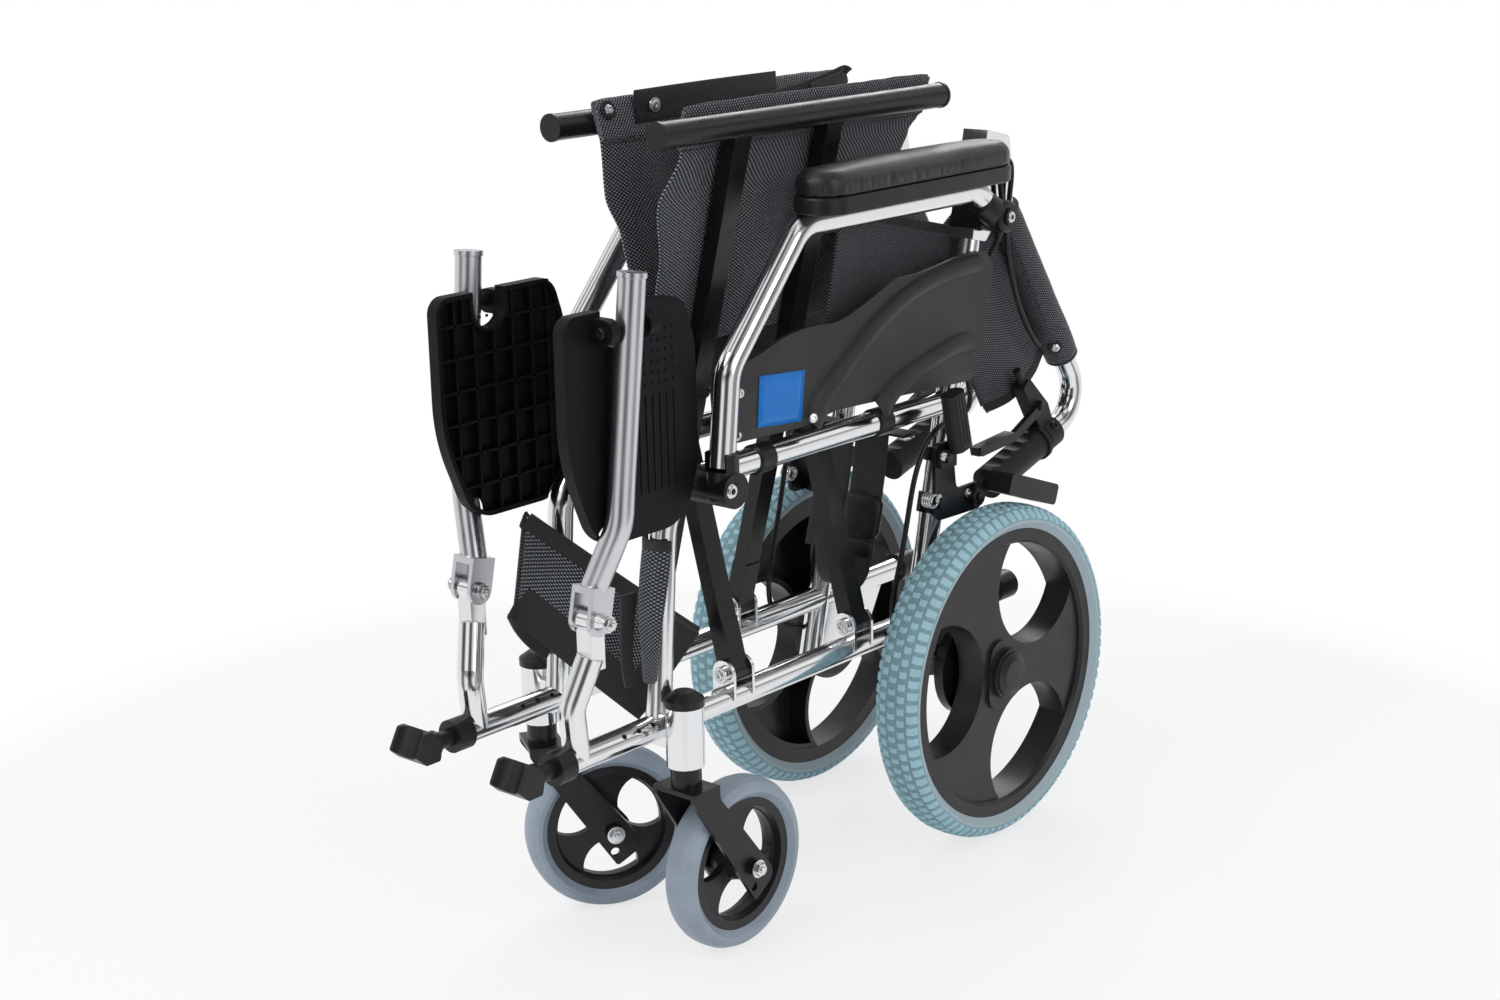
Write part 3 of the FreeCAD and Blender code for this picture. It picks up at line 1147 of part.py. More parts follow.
def saddle():
    """Slide rod with the cradle that the lowered footrest leans on."""
    x, z = FOLD_HALF, LOWER_Z
    rear = STOP_Y + STOP_BACK
    bar = rod((x, rear - 2, z), (x, slide_end(), z), SLIDE_R)
    neck = rod((x, rear - 2, z), (x, rear + NECK_LEN, z), SLIDE_R + 3)
    side = x - STOP_HALF
    pts = [(STOP_Y - STOP_NOSE, z), (STOP_Y, z - STOP_LOW), (rear - 2, z - STOP_LOW), (rear, z)]
    pts += [(rear, z + STOP_LOW), (rear - STOP_NOSE, z + STOP_HIGH), (STOP_Y, z + STOP_HIGH)]
    block = plate_x(pts, side, x + STOP_HALF, 2.5)
    face = V(0, STOP_NOSE, STOP_HIGH).normalize()
    ahead = V(0, -face.z, face.y) * (STOP_HOLLOW_R - STOP_HOLLOW_DEEP)
    middle = V(x, STOP_Y - STOP_NOSE / 2.0, z + STOP_HIGH / 2.0) + ahead
    a = middle - face * (3 * STOP_HIGH)
    b = middle + face * (3 * STOP_HIGH)
    hollow = rod(tuple(a), tuple(b), STOP_HOLLOW_R)
    return fuse([bar, neck, block]).cut(hollow)


# ---------------------------------------------------------------- calf strap, belt, cable
def on_upright(z):
    """Point on the front upright's axis at a height."""
    t = (z - LOWER_Z) / (UPPER_Z - LOWER_Z)
    return V(FOLD_HALF, UPRIGHT_FOOT_Y + t * (UPRIGHT_TOP_Y - UPRIGHT_FOOT_Y), z)


def leaning_sheet(a, b, t):
    """Sheet between two (x, y) points at the strap's foot, leaning with the upright."""
    base = on_upright(CALF_LOW_Z)
    p = V(a[0], a[1], base.z)
    q = V(b[0], b[1], base.z)
    along = (q - p).normalize()
    side = V(-along.y, along.x, 0) * (t / 2.0)
    push = on_upright(CALF_TOP_Z) - base
    return prism([p - side, q - side, q + side, p + side], push)


def calf_outer():
    """Outer quarter with the loop round the upright."""
    base = on_upright(CALF_LOW_Z)
    top = on_upright(CALF_TOP_Z)
    wrap = rod(tuple(base), tuple(top), TUBE_R + SEAT_GAP + 1.6)
    start = (FOLD_HALF - 6.0, base.y - TUBE_R)
    sheet = leaning_sheet(start, (CALF_FOLD_X, CALF_FOLD_Y), CALF_T)
    core = rod(tuple(base), tuple(top + (top - base) * 0.1), TUBE_R + SEAT_GAP)
    tail = rod(tuple(base - (top - base) * 0.1), tuple(base), TUBE_R + SEAT_GAP)
    return cut(fuse([wrap, sheet]), [core, tail])


def calf_inner():
    a = (CALF_FOLD_X - CALF_T - 0.2, CALF_FOLD_Y)
    return leaning_sheet(a, (CALF_TIP_X, CALF_TIP_Y), CALF_T)


def ribbon(pts, x0, width, t):
    """Webbing standing across X along (y, z) points."""
    upper = []
    lower = []
    for i, (y, z) in enumerate(pts):
        a = pts[max(i - 1, 0)]
        b = pts[min(i + 1, len(pts) - 1)]
        d = V(0, b[0] - a[0], b[1] - a[1]).normalize()
        n = V(0, -d.z, d.y) * (t / 2.0)
        upper.append(V(x0, y, z) + n)
        lower.append(V(x0, y, z) - n)
    return prism(upper + lower[::-1], V(width, 0, 0))


# webbing's path from its tab under the side tube
BELT_LEFT = [(0, 0), (-7, -42), (-17, -80), (-25, -106), (-33, -130), (-49, -140), (-61, -124), (-63, -92)]
BELT_RIGHT = [(0, 0), (-4, -40), (-13, -74), (-21, -96), (-27, -116)]


def lap_belt(points, x0, frame):
    y = BELT_Y
    z = UPPER_Z - TUBE_R - BELT_TAB_DROP
    strap = ribbon([(y + a, z + b) for a, b in points], x0, BELT_W, BELT_T)
    tab = box(x0 + BELT_W - 2, FOLD_HALF, y - BELT_TAB_HALF, y + BELT_TAB_HALF, z - TAB_T, z)
    riser = box(FOLD_HALF - 8, FOLD_HALF + 8, y - BELT_TAB_HALF, y + BELT_TAB_HALF, z - TAB_T, UPPER_Z - TUBE_R + 2)
    return fuse([strap, tab, riser]).cut(frame)


# cable's run: from the back's pivot, from the post at a height above the side tube, from the axle
CABLE_AT_BACK = [(8, 72, -173), (9, 50, -151), (10, 24, -103), (13, 9, -57), (17.5, 8, -13), (17.5, 4, 13),
                 (17.5, -4, 13), (17.5, -7.5, -13), (17, -7.5, -53)]
CABLE_AT_POST = [(7, 20.9, 120), (3, 16.7, 70), (6, 19.5, 20), (15.5, 15.3, -5), (16.5, -5.8, -13),
                 (16.5, -34.6, -18), (16.5, -55.5, -48), (16, -58.8, -85), (15.5, -61, -135), (15, -61.6, -175)]
CABLE_AT_AXLE = [(15.5, -96, 42), (15.5, -70, 24), (15.5, -42.5, 19)]


def brake_cable():
    path = [PIVOT + V(*p) for p in CABLE_AT_BACK]
    for x, y, z in CABLE_AT_POST:
        path.append(V(FOLD_HALF + x, post_y(UPPER_Z + z) + y, UPPER_Z + z))
    path += [V(FOLD_HALF + x, AXLE_Y + y, AXLE_Z + z) for x, y, z in CABLE_AT_AXLE]
    curve = Part.BSplineCurve()
    curve.interpolate(path)
    wire = Part.Wire([curve.toShape()])
    ring = Part.Wire([Part.makeCircle(CABLE_R, path[0], curve.tangent(curve.FirstParameter)[0])])
    return wire.makePipeShell([ring], True, True)


# ---------------------------------------------------------------- assembly
def build():
    parts = {}
    frame_l = side_frame(BRACE_1_Y)
    frame_r = side_frame(BRACE_2_Y)
    parts["side_frame_l"] = frame_l
    parts["side_frame_r"] = mirror(frame_r)
    parts["frame_fittings_l"] = frame_fittings(frame_l)
    parts["frame_fittings_r"] = mirror(parts["frame_fittings_l"])
    arm = arm_tube()
    back = back_tube()
    foot = footrest_tube()
    left = {
        "drum_brake": drum_brake(),
        "park_mount": park_mount(frame_l),
        "park_handle": park_handle(),
        "park_shoe": park_shoe(),
        "rear_hub": rear_hub(),
        "rear_tyre": rear_tyre(),
        "arm_tube": arm,
        "arm_pad": arm_pad(arm),
        "side_panel": side_panel(arm),
        "footrest_tube": foot,
        "footplate": footplate(foot),
        "saddle": saddle(),
        "back_tube": back,
        "grip": grip(back),
        "brake_lever": brake_lever(),
        "back_sleeve": back_sleeve(back),
        "seat_half": seat_half(),
        "back_low": back_low(),
        "back_up_outer": back_up_outer(),
        "back_up_inner": back_up(UP_IN_X),
        "calf_outer": calf_outer(),
        "calf_inner": calf_inner(),
        "brake_cable": brake_cable(),
    }
    for name, shape in left.items():
        parts[name + "_l"] = shape
        parts[name + "_r"] = mirror(shape)
    for name, shape in (("caster_fork", caster_fork()), ("caster_hub", caster_hub()), ("caster_tyre", caster_tyre())):
        parts[name + "_l"] = shape
        turned = mirror(shape)
        turned.rotate(V(-CASTER_X, CASTER_Y, 0), V(0, 0, 1), CASTER_TURN)
        parts[name + "_r"] = turned
    parts["cross_brace_1"] = mirror(brace(BRACE_1_Y, True, BRACE_2_Y))
    parts["cross_brace_2"] = brace(BRACE_2_Y, False, BRACE_1_Y)
    parts["lap_belt_l"] = lap_belt(BELT_LEFT, BELT_X, frame_l)
    parts["lap_belt_r"] = mirror(lap_belt(BELT_RIGHT, BELT_X, frame_r))
    return parts


def main():
    os.makedirs("parts", exist_ok=True)
    for name, shape in build().items():
        shape.translate(V(0, -ORIGIN_Y, 0))
        shape.exportStep("parts/" + name + ".step")


main()
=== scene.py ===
# %% [markdown]
# # A folded transport wheelchair
# The rigid chair arrives as a CAD frame: tubes, wheels, brackets and hinges, each in its place. This
# notebook gives every piece its finish, lays cloth, leather and webbing over the rigid parts, and adds
# the small fasteners. The first cell keeps the frame's size, to compare the dressed chair with.

# %% Load the frame
import json
import math

import bmesh
import bpy
from mathutils import Matrix, Vector, noise
from mathutils.bvhtree import BVHTree
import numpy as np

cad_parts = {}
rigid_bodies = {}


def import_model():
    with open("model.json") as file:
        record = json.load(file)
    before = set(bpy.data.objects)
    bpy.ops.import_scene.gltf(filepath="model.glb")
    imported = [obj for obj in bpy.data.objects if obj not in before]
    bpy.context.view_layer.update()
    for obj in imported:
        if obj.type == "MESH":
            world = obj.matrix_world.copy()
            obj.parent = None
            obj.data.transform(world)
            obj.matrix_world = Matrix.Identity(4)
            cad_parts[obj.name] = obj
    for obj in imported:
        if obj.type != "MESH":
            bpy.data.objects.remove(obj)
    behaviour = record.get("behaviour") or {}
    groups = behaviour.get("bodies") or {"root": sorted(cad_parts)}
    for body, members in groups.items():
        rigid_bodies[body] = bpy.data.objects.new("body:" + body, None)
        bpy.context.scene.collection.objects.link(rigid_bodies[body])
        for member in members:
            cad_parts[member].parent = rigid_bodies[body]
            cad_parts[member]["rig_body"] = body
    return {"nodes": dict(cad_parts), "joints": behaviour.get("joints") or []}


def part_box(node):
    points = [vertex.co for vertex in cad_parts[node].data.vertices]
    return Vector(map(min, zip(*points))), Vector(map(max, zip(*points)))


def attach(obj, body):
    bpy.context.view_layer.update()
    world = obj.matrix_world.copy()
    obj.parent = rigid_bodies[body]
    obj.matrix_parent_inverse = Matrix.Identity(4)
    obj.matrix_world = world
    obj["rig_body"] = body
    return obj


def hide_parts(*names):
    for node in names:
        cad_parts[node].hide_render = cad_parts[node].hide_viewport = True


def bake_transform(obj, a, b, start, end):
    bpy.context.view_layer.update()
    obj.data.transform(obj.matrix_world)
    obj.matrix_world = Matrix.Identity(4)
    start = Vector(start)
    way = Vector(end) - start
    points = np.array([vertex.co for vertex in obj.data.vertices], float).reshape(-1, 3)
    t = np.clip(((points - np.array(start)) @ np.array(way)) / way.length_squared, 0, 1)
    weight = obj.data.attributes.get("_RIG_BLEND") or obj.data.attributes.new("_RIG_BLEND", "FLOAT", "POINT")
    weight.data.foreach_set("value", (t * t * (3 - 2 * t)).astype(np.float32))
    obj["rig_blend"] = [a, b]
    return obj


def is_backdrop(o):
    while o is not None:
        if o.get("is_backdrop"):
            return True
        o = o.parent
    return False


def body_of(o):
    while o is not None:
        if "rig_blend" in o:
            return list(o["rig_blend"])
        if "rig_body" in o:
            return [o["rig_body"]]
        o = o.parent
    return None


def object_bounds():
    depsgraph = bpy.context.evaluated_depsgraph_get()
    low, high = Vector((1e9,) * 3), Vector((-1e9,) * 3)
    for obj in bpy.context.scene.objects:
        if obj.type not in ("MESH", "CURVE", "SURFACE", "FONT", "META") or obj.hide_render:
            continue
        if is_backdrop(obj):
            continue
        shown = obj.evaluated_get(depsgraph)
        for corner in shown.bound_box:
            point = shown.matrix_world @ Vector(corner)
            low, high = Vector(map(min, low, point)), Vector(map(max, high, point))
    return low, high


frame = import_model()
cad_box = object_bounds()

NODES = frame["nodes"]
JOINTS = {joint["name"]: joint for joint in frame["joints"]}

# %% [markdown]
# ## Places
# Most places below come from the frame: a hinge is in its joint, and a piece's place is the box of
# its node. The rest are in millimetres, as in a workshop drawing, and MM turns them into metres.

# %% Places
MM = 0.001
MM_PER_METRE = 1000.0
SIDES = {"l": 1, "r": -1}


def hinge_at(name):
    """Place of a joint, in metres."""
    return Vector(JOINTS[name]["pos_m"])


def axis_of(name):
    """Unit axis of a joint."""
    return Vector(JOINTS[name]["axis"]).normalized()


def show(piece):
    """Puts an object into the scene."""
    bpy.context.scene.collection.objects.link(piece)


def box_mm(node):
    """Corners of a node's box, in mm."""
    return [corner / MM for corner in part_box(node)]


def rounded(values):
    """Numbers cut to three places, for printing."""
    return [round(value, 3) for value in values]


print("brace hinge at", rounded(hinge_at("fold")))

# %% [markdown]
# ## Materials
# Several finishes share a few effects, so each effect is a node group: a soft rounded edge, a fine
# grain, a leather grain, a mesh of pores and a woven band. A group gives out masks, heights and
# normals, and each material brings its own shader.

# %% Node helpers
def new_group(name, inputs, outputs):
    """Empty shader group with named sockets."""
    group = bpy.data.node_groups.new(name, "ShaderNodeTree")
    for label, kind, value in inputs:
        socket = group.interface.new_socket(name=label, in_out="INPUT", socket_type=kind)
        if value is not None:
            socket.default_value = value
    for label, kind in outputs:
        group.interface.new_socket(name=label, in_out="OUTPUT", socket_type=kind)
    start = group.nodes.new("NodeGroupInput")
    end = group.nodes.new("NodeGroupOutput")
    return group, start, end


def math_node(tree, operation, a, b=None, c=None):
    """Math node; each input is a socket or a number."""
    node = tree.nodes.new("ShaderNodeMath")
    node.operation = operation
    for i, value in enumerate((a, b, c)):
        if value is None:
            continue
        if isinstance(value, (int, float)):
            node.inputs[i].default_value = value
        else:
            tree.links.new(value, node.inputs[i])
    return node.outputs[0]


# %% Steps and mixes
def ramp(tree, value, low, high, out_low=0.0, out_high=1.0):
    """Smooth step between two values."""
    node = tree.nodes.new("ShaderNodeMapRange")
    node.interpolation_type = "SMOOTHSTEP"
    tree.links.new(value, node.inputs["Value"])
    for label, number in (("From Min", low), ("From Max", high), ("To Min", out_low), ("To Max", out_high)):
        if isinstance(number, (int, float)):
            node.inputs[label].default_value = number
        else:
            tree.links.new(number, node.inputs[label])
    return node.outputs["Result"]


def mix_colour(tree, factor, a, b, blend="MIX"):
    """Colour between a and b; the mix node keeps its colour sockets at places 6, 7 and 2."""
    node = tree.nodes.new("ShaderNodeMix")
    node.data_type = "RGBA"
    node.blend_type = blend
    for index, value in ((0, factor), (6, a), (7, b)):
        socket = node.inputs[index]
        if isinstance(value, (int, float)):
            socket.default_value = value
        elif isinstance(value, tuple):
            socket.default_value = (*value[:3], 1.0)
        else:
            tree.links.new(value, socket)
    return node.outputs[2]


# %% Groups and coordinates
def place_group(tree, group, **values):
    """A group's node with its inputs set or linked."""
    node = tree.nodes.new("ShaderNodeGroup")
    node.node_tree = group
    for label, value in values.items():
        socket = node.inputs[label.replace("_", " ")]
        if isinstance(value, (int, float, tuple)):
            socket.default_value = value
        else:
            tree.links.new(value, socket)
    return node


def object_place(tree):
    """Coordinates fixed to the piece, in metres."""
    return tree.nodes.new("ShaderNodeTexCoord").outputs["Object"]


# %% [markdown]
# ### Soft edges
# No real edge is perfectly sharp. A bevel node bends the normal near an edge without adding faces,
# and where it differs from the true normal there is an edge, which gives the mask for wear.

# %% Soft edges
def make_soft_edge_group():
    """Rounded edge normal and a mask that is 1 on the edges."""
    group, start, end = new_group(
        "Soft edges", [("Radius", "NodeSocketFloat", 0.0008)],
        [("Normal", "NodeSocketVector"), ("Edge", "NodeSocketFloat")])
    bevel = group.nodes.new("ShaderNodeBevel")
    bevel.samples = 4
    group.links.new(start.outputs["Radius"], bevel.inputs["Radius"])
    face = group.nodes.new("ShaderNodeNewGeometry")
    dot = group.nodes.new("ShaderNodeVectorMath")
    dot.operation = "DOT_PRODUCT"
    group.links.new(bevel.outputs["Normal"], dot.inputs[0])
    group.links.new(face.outputs["Normal"], dot.inputs[1])
    edge = ramp(group, dot.outputs["Value"], 0.99, 0.85)
    group.links.new(bevel.outputs["Normal"], end.inputs["Normal"])
    group.links.new(edge, end.inputs["Edge"])
    return group


SOFT_EDGES = make_soft_edge_group()
print(SOFT_EDGES.name, len(SOFT_EDGES.nodes), "nodes")

# %% [markdown]
# ### Fine grain
# Paint, plastic and metal have a grain of a millimetre or less, and a slow patchiness from use. Two
# noises give both, one for height and one for gloss.

# %% Fine grain
def make_grain_group():
    """Fine sprayed or moulded grain: a height and a slow patchiness."""
    group, start, end = new_group(
        "Fine grain",
        [("Place", "NodeSocketVector", None), ("Grain mm", "NodeSocketFloat", 0.6),
         ("Patch mm", "NodeSocketFloat", 30.0)],
        [("Height", "NodeSocketFloat"), ("Patch", "NodeSocketFloat")])
    layers = (("fine", "Grain mm", 2.0, "Height"), ("slow", "Patch mm", 3.0, "Patch"))
    for label, size, detail, out in layers:
        texture = group.nodes.new("ShaderNodeTexNoise")
        texture.label = label
        texture.inputs["Detail"].default_value = detail
        scale = math_node(group, "DIVIDE", MM_PER_METRE, start.outputs[size])
        group.links.new(start.outputs["Place"], texture.inputs["Vector"])
        group.links.new(scale, texture.inputs["Scale"])
        group.links.new(texture.outputs["Fac"], end.inputs[out])
    return group


FINE_GRAIN = make_grain_group()
print(FINE_GRAIN.name, len(FINE_GRAIN.nodes), "nodes")

# %% [markdown]
# ### Leather grain
# The pebbles of embossed leather are the cells of a Voronoi texture, and the distance to a cell's
# edge gives the creases. A little noise bends the cells, so that no straight line is left.

# %% Leather grain
def make_leather_group():
    """Pebbled cells with fine creases between them."""
    group, start, end = new_group(
        "Leather grain",
        [("Place", "NodeSocketVector", None), ("Cell mm", "NodeSocketFloat", 1.2)],
        [("Height", "NodeSocketFloat"), ("Crease", "NodeSocketFloat")])
    scale = math_node(group, "DIVIDE", MM_PER_METRE, start.outputs["Cell mm"])
    wander = 0.6 * MM
    warp = group.nodes.new("ShaderNodeTexNoise")
    group.links.new(start.outputs["Place"], warp.inputs["Vector"])
    group.links.new(scale, warp.inputs["Scale"])
    add = group.nodes.new("ShaderNodeVectorMath")
    add.operation = "MULTIPLY_ADD"
    add.inputs[1].default_value = (wander, wander, wander)
    group.links.new(warp.outputs["Color"], add.inputs[0])
    group.links.new(start.outputs["Place"], add.inputs[2])
    cells = group.nodes.new("ShaderNodeTexVoronoi")
    cells.feature = "DISTANCE_TO_EDGE"
    group.links.new(add.outputs["Vector"], cells.inputs["Vector"])
    group.links.new(scale, cells.inputs["Scale"])
    height = ramp(group, cells.outputs["Distance"], 0.0, 0.22)
    crease = math_node(group, "SUBTRACT", 1.0, height)
    group.links.new(height, end.inputs["Height"])
    group.links.new(crease, end.inputs["Crease"])
    return group


LEATHER_GRAIN = make_leather_group()
print(LEATHER_GRAIN.name, len(LEATHER_GRAIN.nodes), "nodes")

# %% [markdown]
# ### Mesh of pores
# Seat and back are spacer mesh, knitted with staggered oval holes, whose shade the material paints
# in as near black. A square grid of cells turned by 45 degrees staggers them, and a stretch makes them
# oval. A very fine noise gives the yarn its fluff.

# %% Mesh of pores
def make_pore_group():
    """Staggered round pores in spacer mesh: 1 on the yarn, 0 in a pore."""
    group, start, end = new_group(
        "Mesh pores",
        [("Cloth", "NodeSocketVector", None), ("Pitch mm", "NodeSocketFloat", 3.0),
         ("Stretch", "NodeSocketFloat", 0.62), ("Pore", "NodeSocketFloat", 0.30)],
        [("Yarn", "NodeSocketFloat"), ("Height", "NodeSocketFloat")])
    turn = group.nodes.new("ShaderNodeMapping")
    turn.inputs["Rotation"].default_value = (0.0, 0.0, math.radians(45.0))
    split = group.nodes.new("ShaderNodeSeparateXYZ")
    join = group.nodes.new("ShaderNodeCombineXYZ")
    group.links.new(start.outputs["Cloth"], split.inputs[0])
    group.links.new(split.outputs["X"], join.inputs["X"])
    tall = math_node(group, "DIVIDE", split.outputs["Y"], start.outputs["Stretch"])
    group.links.new(tall, join.inputs["Y"])
    group.links.new(join.outputs[0], turn.inputs["Vector"])
    diagonal_mm = 1414.2  # a metre of the turned grid, along its diagonal
    scale = math_node(group, "DIVIDE", diagonal_mm, start.outputs["Pitch mm"])
    cells = group.nodes.new("ShaderNodeTexVoronoi")
    cells.voronoi_dimensions = "2D"
    cells.inputs["Randomness"].default_value = 0.0
    group.links.new(turn.outputs["Vector"], cells.inputs["Vector"])
    group.links.new(scale, cells.inputs["Scale"])
    soft_rim = 0.16
    wide = math_node(group, "ADD", start.outputs["Pore"], soft_rim)
    yarn = ramp(group, cells.outputs["Distance"], start.outputs["Pore"], wide)
    fibre = group.nodes.new("ShaderNodeTexNoise")
    group.links.new(join.outputs[0], fibre.inputs["Vector"])
    fibre.inputs["Scale"].default_value = 2200.0
    rough = math_node(group, "MULTIPLY", fibre.outputs["Fac"], 0.25)
    height = math_node(group, "ADD", yarn, rough)
    group.links.new(yarn, end.inputs["Yarn"])
    group.links.new(height, end.inputs["Height"])
    return group


MESH_PORES = make_pore_group()
print(MESH_PORES.name, len(MESH_PORES.nodes), "nodes")

# %% [markdown]
# ### Woven band
# Belts and binding tape are woven flat. Two sine waves, one of them askew, give the rows of a twill,
# in coordinates that follow the band.

# %% Woven band
def make_weave_group():
    """Flat webbing: rows across the band with a fine twill."""
    group, start, end = new_group(
        "Woven band",
        [("Cloth", "NodeSocketVector", None), ("Thread mm", "NodeSocketFloat", 1.1)],
        [("Height", "NodeSocketFloat")])
    scale = math_node(group, "DIVIDE", MM_PER_METRE * math.pi, start.outputs["Thread mm"])
    split = group.nodes.new("ShaderNodeSeparateXYZ")
    group.links.new(start.outputs["Cloth"], split.inputs[0])
    across = math_node(group, "MULTIPLY", split.outputs["X"], scale)
    along = math_node(group, "MULTIPLY", split.outputs["Y"], scale)
    a = math_node(group, "ABSOLUTE", math_node(group, "SINE", math_node(group, "ADD", across, along)))
    b = math_node(group, "ABSOLUTE", math_node(group, "SINE", along))
    height = math_node(group, "MULTIPLY", a, b)
    group.links.new(height, end.inputs["Height"])
    return group


WOVEN_BAND = make_weave_group()
print(WOVEN_BAND.name, len(WOVEN_BAND.nodes), "nodes")


# %% Material helpers
def new_material(name):
    """Material with one Principled shader, returned with its tree."""
    material = bpy.data.materials.new(name)
    material.use_nodes = True
    tree = material.node_tree
    return material, tree, tree.nodes["Principled BSDF"]


def shade(colour, factor):
    """Colour made darker or lighter."""
    return tuple(c * factor for c in colour)


def bump(tree, height, depth_mm, normal=None, strength=1.0):
    """Bump node for a height of 0 to 1."""
    node = tree.nodes.new("ShaderNodeBump")
    node.inputs["Strength"].default_value = strength
    node.inputs["Distance"].default_value = depth_mm * MM
    tree.links.new(height, node.inputs["Height"])
    if normal is not None:
        tree.links.new(normal, node.inputs["Normal"])
    return node.outputs["Normal"]


def dress(node, material):
    """Gives a CAD node one material."""
    mesh = NODES[node].data
    mesh.materials.clear()
    mesh.materials.append(material)


# %% [markdown]
# ### Metal
# The frame is polished aluminium: a mirror that the drawing of the tube has streaked very slightly.
# The grain is stretched in two directions to give the streaks. Bolts are bright zinc.

# %% Metal finishes
def make_polished(name, colour, rough_low, rough_high, streak_mm):
    """Bright metal with patchy gloss and faint streaks."""
    material, tree, shader = new_material(name)
    place = object_place(tree)
    stretch = tree.nodes.new("ShaderNodeMapping")
    stretch.inputs["Scale"].default_value = (1.0, 0.12, 0.12)
    tree.links.new(place, stretch.inputs["Vector"])
    grain = place_group(tree, FINE_GRAIN, Place=stretch.outputs["Vector"], Grain_mm=streak_mm, Patch_mm=14.0)
    edges = place_group(tree, SOFT_EDGES, Radius=0.0006)
    gloss = ramp(tree, grain.outputs["Patch"], 0.3, 0.7, rough_low, rough_high)
    tree.links.new(gloss, shader.inputs["Roughness"])
    dull = shade(colour, 0.86)
    tree.links.new(mix_colour(tree, grain.outputs["Patch"], dull, colour), shader.inputs["Base Color"])
    normal = bump(tree, grain.outputs["Height"], 0.01, edges.outputs["Normal"], 0.4)
    tree.links.new(normal, shader.inputs["Normal"])
    shader.inputs["Metallic"].default_value = 1.0
    return material


POLISHED = make_polished("polished aluminium tube", (0.86, 0.87, 0.88), 0.09, 0.19, 0.5)
SATIN = make_polished("satin aluminium tube", (0.70, 0.71, 0.74), 0.22, 0.34, 0.35)
ZINC = make_polished("bright zinc", (0.80, 0.81, 0.82), 0.16, 0.30, 0.3)
BRASS = make_polished("brass ring", (0.72, 0.52, 0.20), 0.2, 0.32, 0.3)
print("metals", [m.name for m in (POLISHED, SATIN, ZINC, BRASS)])

# %% [markdown]
# ### Paint, plastic and rubber
# Fork and brace are powder coated, and fittings, hubs and footplates are moulded. All are nearly one
# black, so grain, patchy gloss and paler worn edges tell them apart. One maker serves them all.

# %% Painted and moulded finishes
def make_coated(name, colour, rough, grain_mm, depth_mm, worn, edge=0.0008, spec=0.36):
    """Black paint or moulded plastic: grain, patchy gloss and paler worn edges."""
    material, tree, shader = new_material(name)
    shader.inputs["Specular IOR Level"].default_value = spec
    place = object_place(tree)
    grain = place_group(tree, FINE_GRAIN, Place=place, Grain_mm=grain_mm, Patch_mm=26.0)
    edges = place_group(tree, SOFT_EDGES, Radius=edge)
    tree.links.new(ramp(tree, grain.outputs["Patch"], 0.25, 0.75, rough - 0.06, rough + 0.07),
                   shader.inputs["Roughness"])
    pale = tuple(min(1.0, c * 2.6 + 0.03) for c in colour)
    darker = shade(colour, 0.8)
    lighter = shade(colour, 1.25)
    patch = mix_colour(tree, grain.outputs["Patch"], darker, lighter)
    wear = math_node(tree, "MULTIPLY", edges.outputs["Edge"], worn)
    tree.links.new(mix_colour(tree, wear, patch, pale), shader.inputs["Base Color"])
    normal = bump(tree, grain.outputs["Height"], depth_mm, edges.outputs["Normal"])
    tree.links.new(normal, shader.inputs["Normal"])
    return material


BLACK_PAINT = make_coated("black powder coat", (0.007, 0.007, 0.008), 0.30, 0.5, 0.03, 0.35)
BLACK_PLASTIC = make_coated("black moulded plastic", (0.009, 0.009, 0.010), 0.36, 0.7, 0.05, 0.3)
PLATE_PLASTIC = make_coated("footplate plastic", (0.0045, 0.0055, 0.0070), 0.46, 0.7, 0.05, 0.2, spec=0.16)
HUB_PLASTIC = make_coated("wheel plastic", (0.014, 0.014, 0.016), 0.36, 0.8, 0.05, 0.35)
RUBBER = make_coated("black grip rubber", (0.012, 0.012, 0.012), 0.55, 0.5, 0.06, 0.15)
CABLE = make_coated("cable jacket", (0.008, 0.008, 0.008), 0.28, 0.9, 0.02, 0.0, 0.0002)
PALE_TYRE = make_coated("pale blue-grey tyre", (0.30, 0.36, 0.43), 0.45, 1.2, 0.05, 0.0)
TEAL_TYRE = make_coated("teal tyre", (0.215, 0.350, 0.400), 0.55, 1.0, 0.06, 0.25, 0.0005)
# painted light: the tread blocks are the tyre's own rubber painted lighter, so they read lit and the grooves
# between them read as shade
LIT_TREAD_TEAL = make_coated("teal tread painted lighter", (0.36, 0.585, 0.67), 0.50, 1.0, 0.05, 0.22, 0.0004)
# painted shade: a near-black finish for flat discs that stand in for the shaded inside of holes
HOLE_SHADE_BLACK = make_coated("painted hole shade", (0.002, 0.002, 0.002), 0.7, 1.0, 0.01, 0.0)
LABEL_BLUE = make_coated("blue label", (0.004, 0.175, 0.60), 0.32, 3.0, 0.02, 0.0, 0.0002)
print("materials so far", len(bpy.data.materials))

# %% [markdown]
# ### Paler band of the rear tyres
# Each rear tyre is paler on the smooth band beside its rim. The distance from the axle tells the band
# from the tread, so the colour stays right while the wheel rolls.

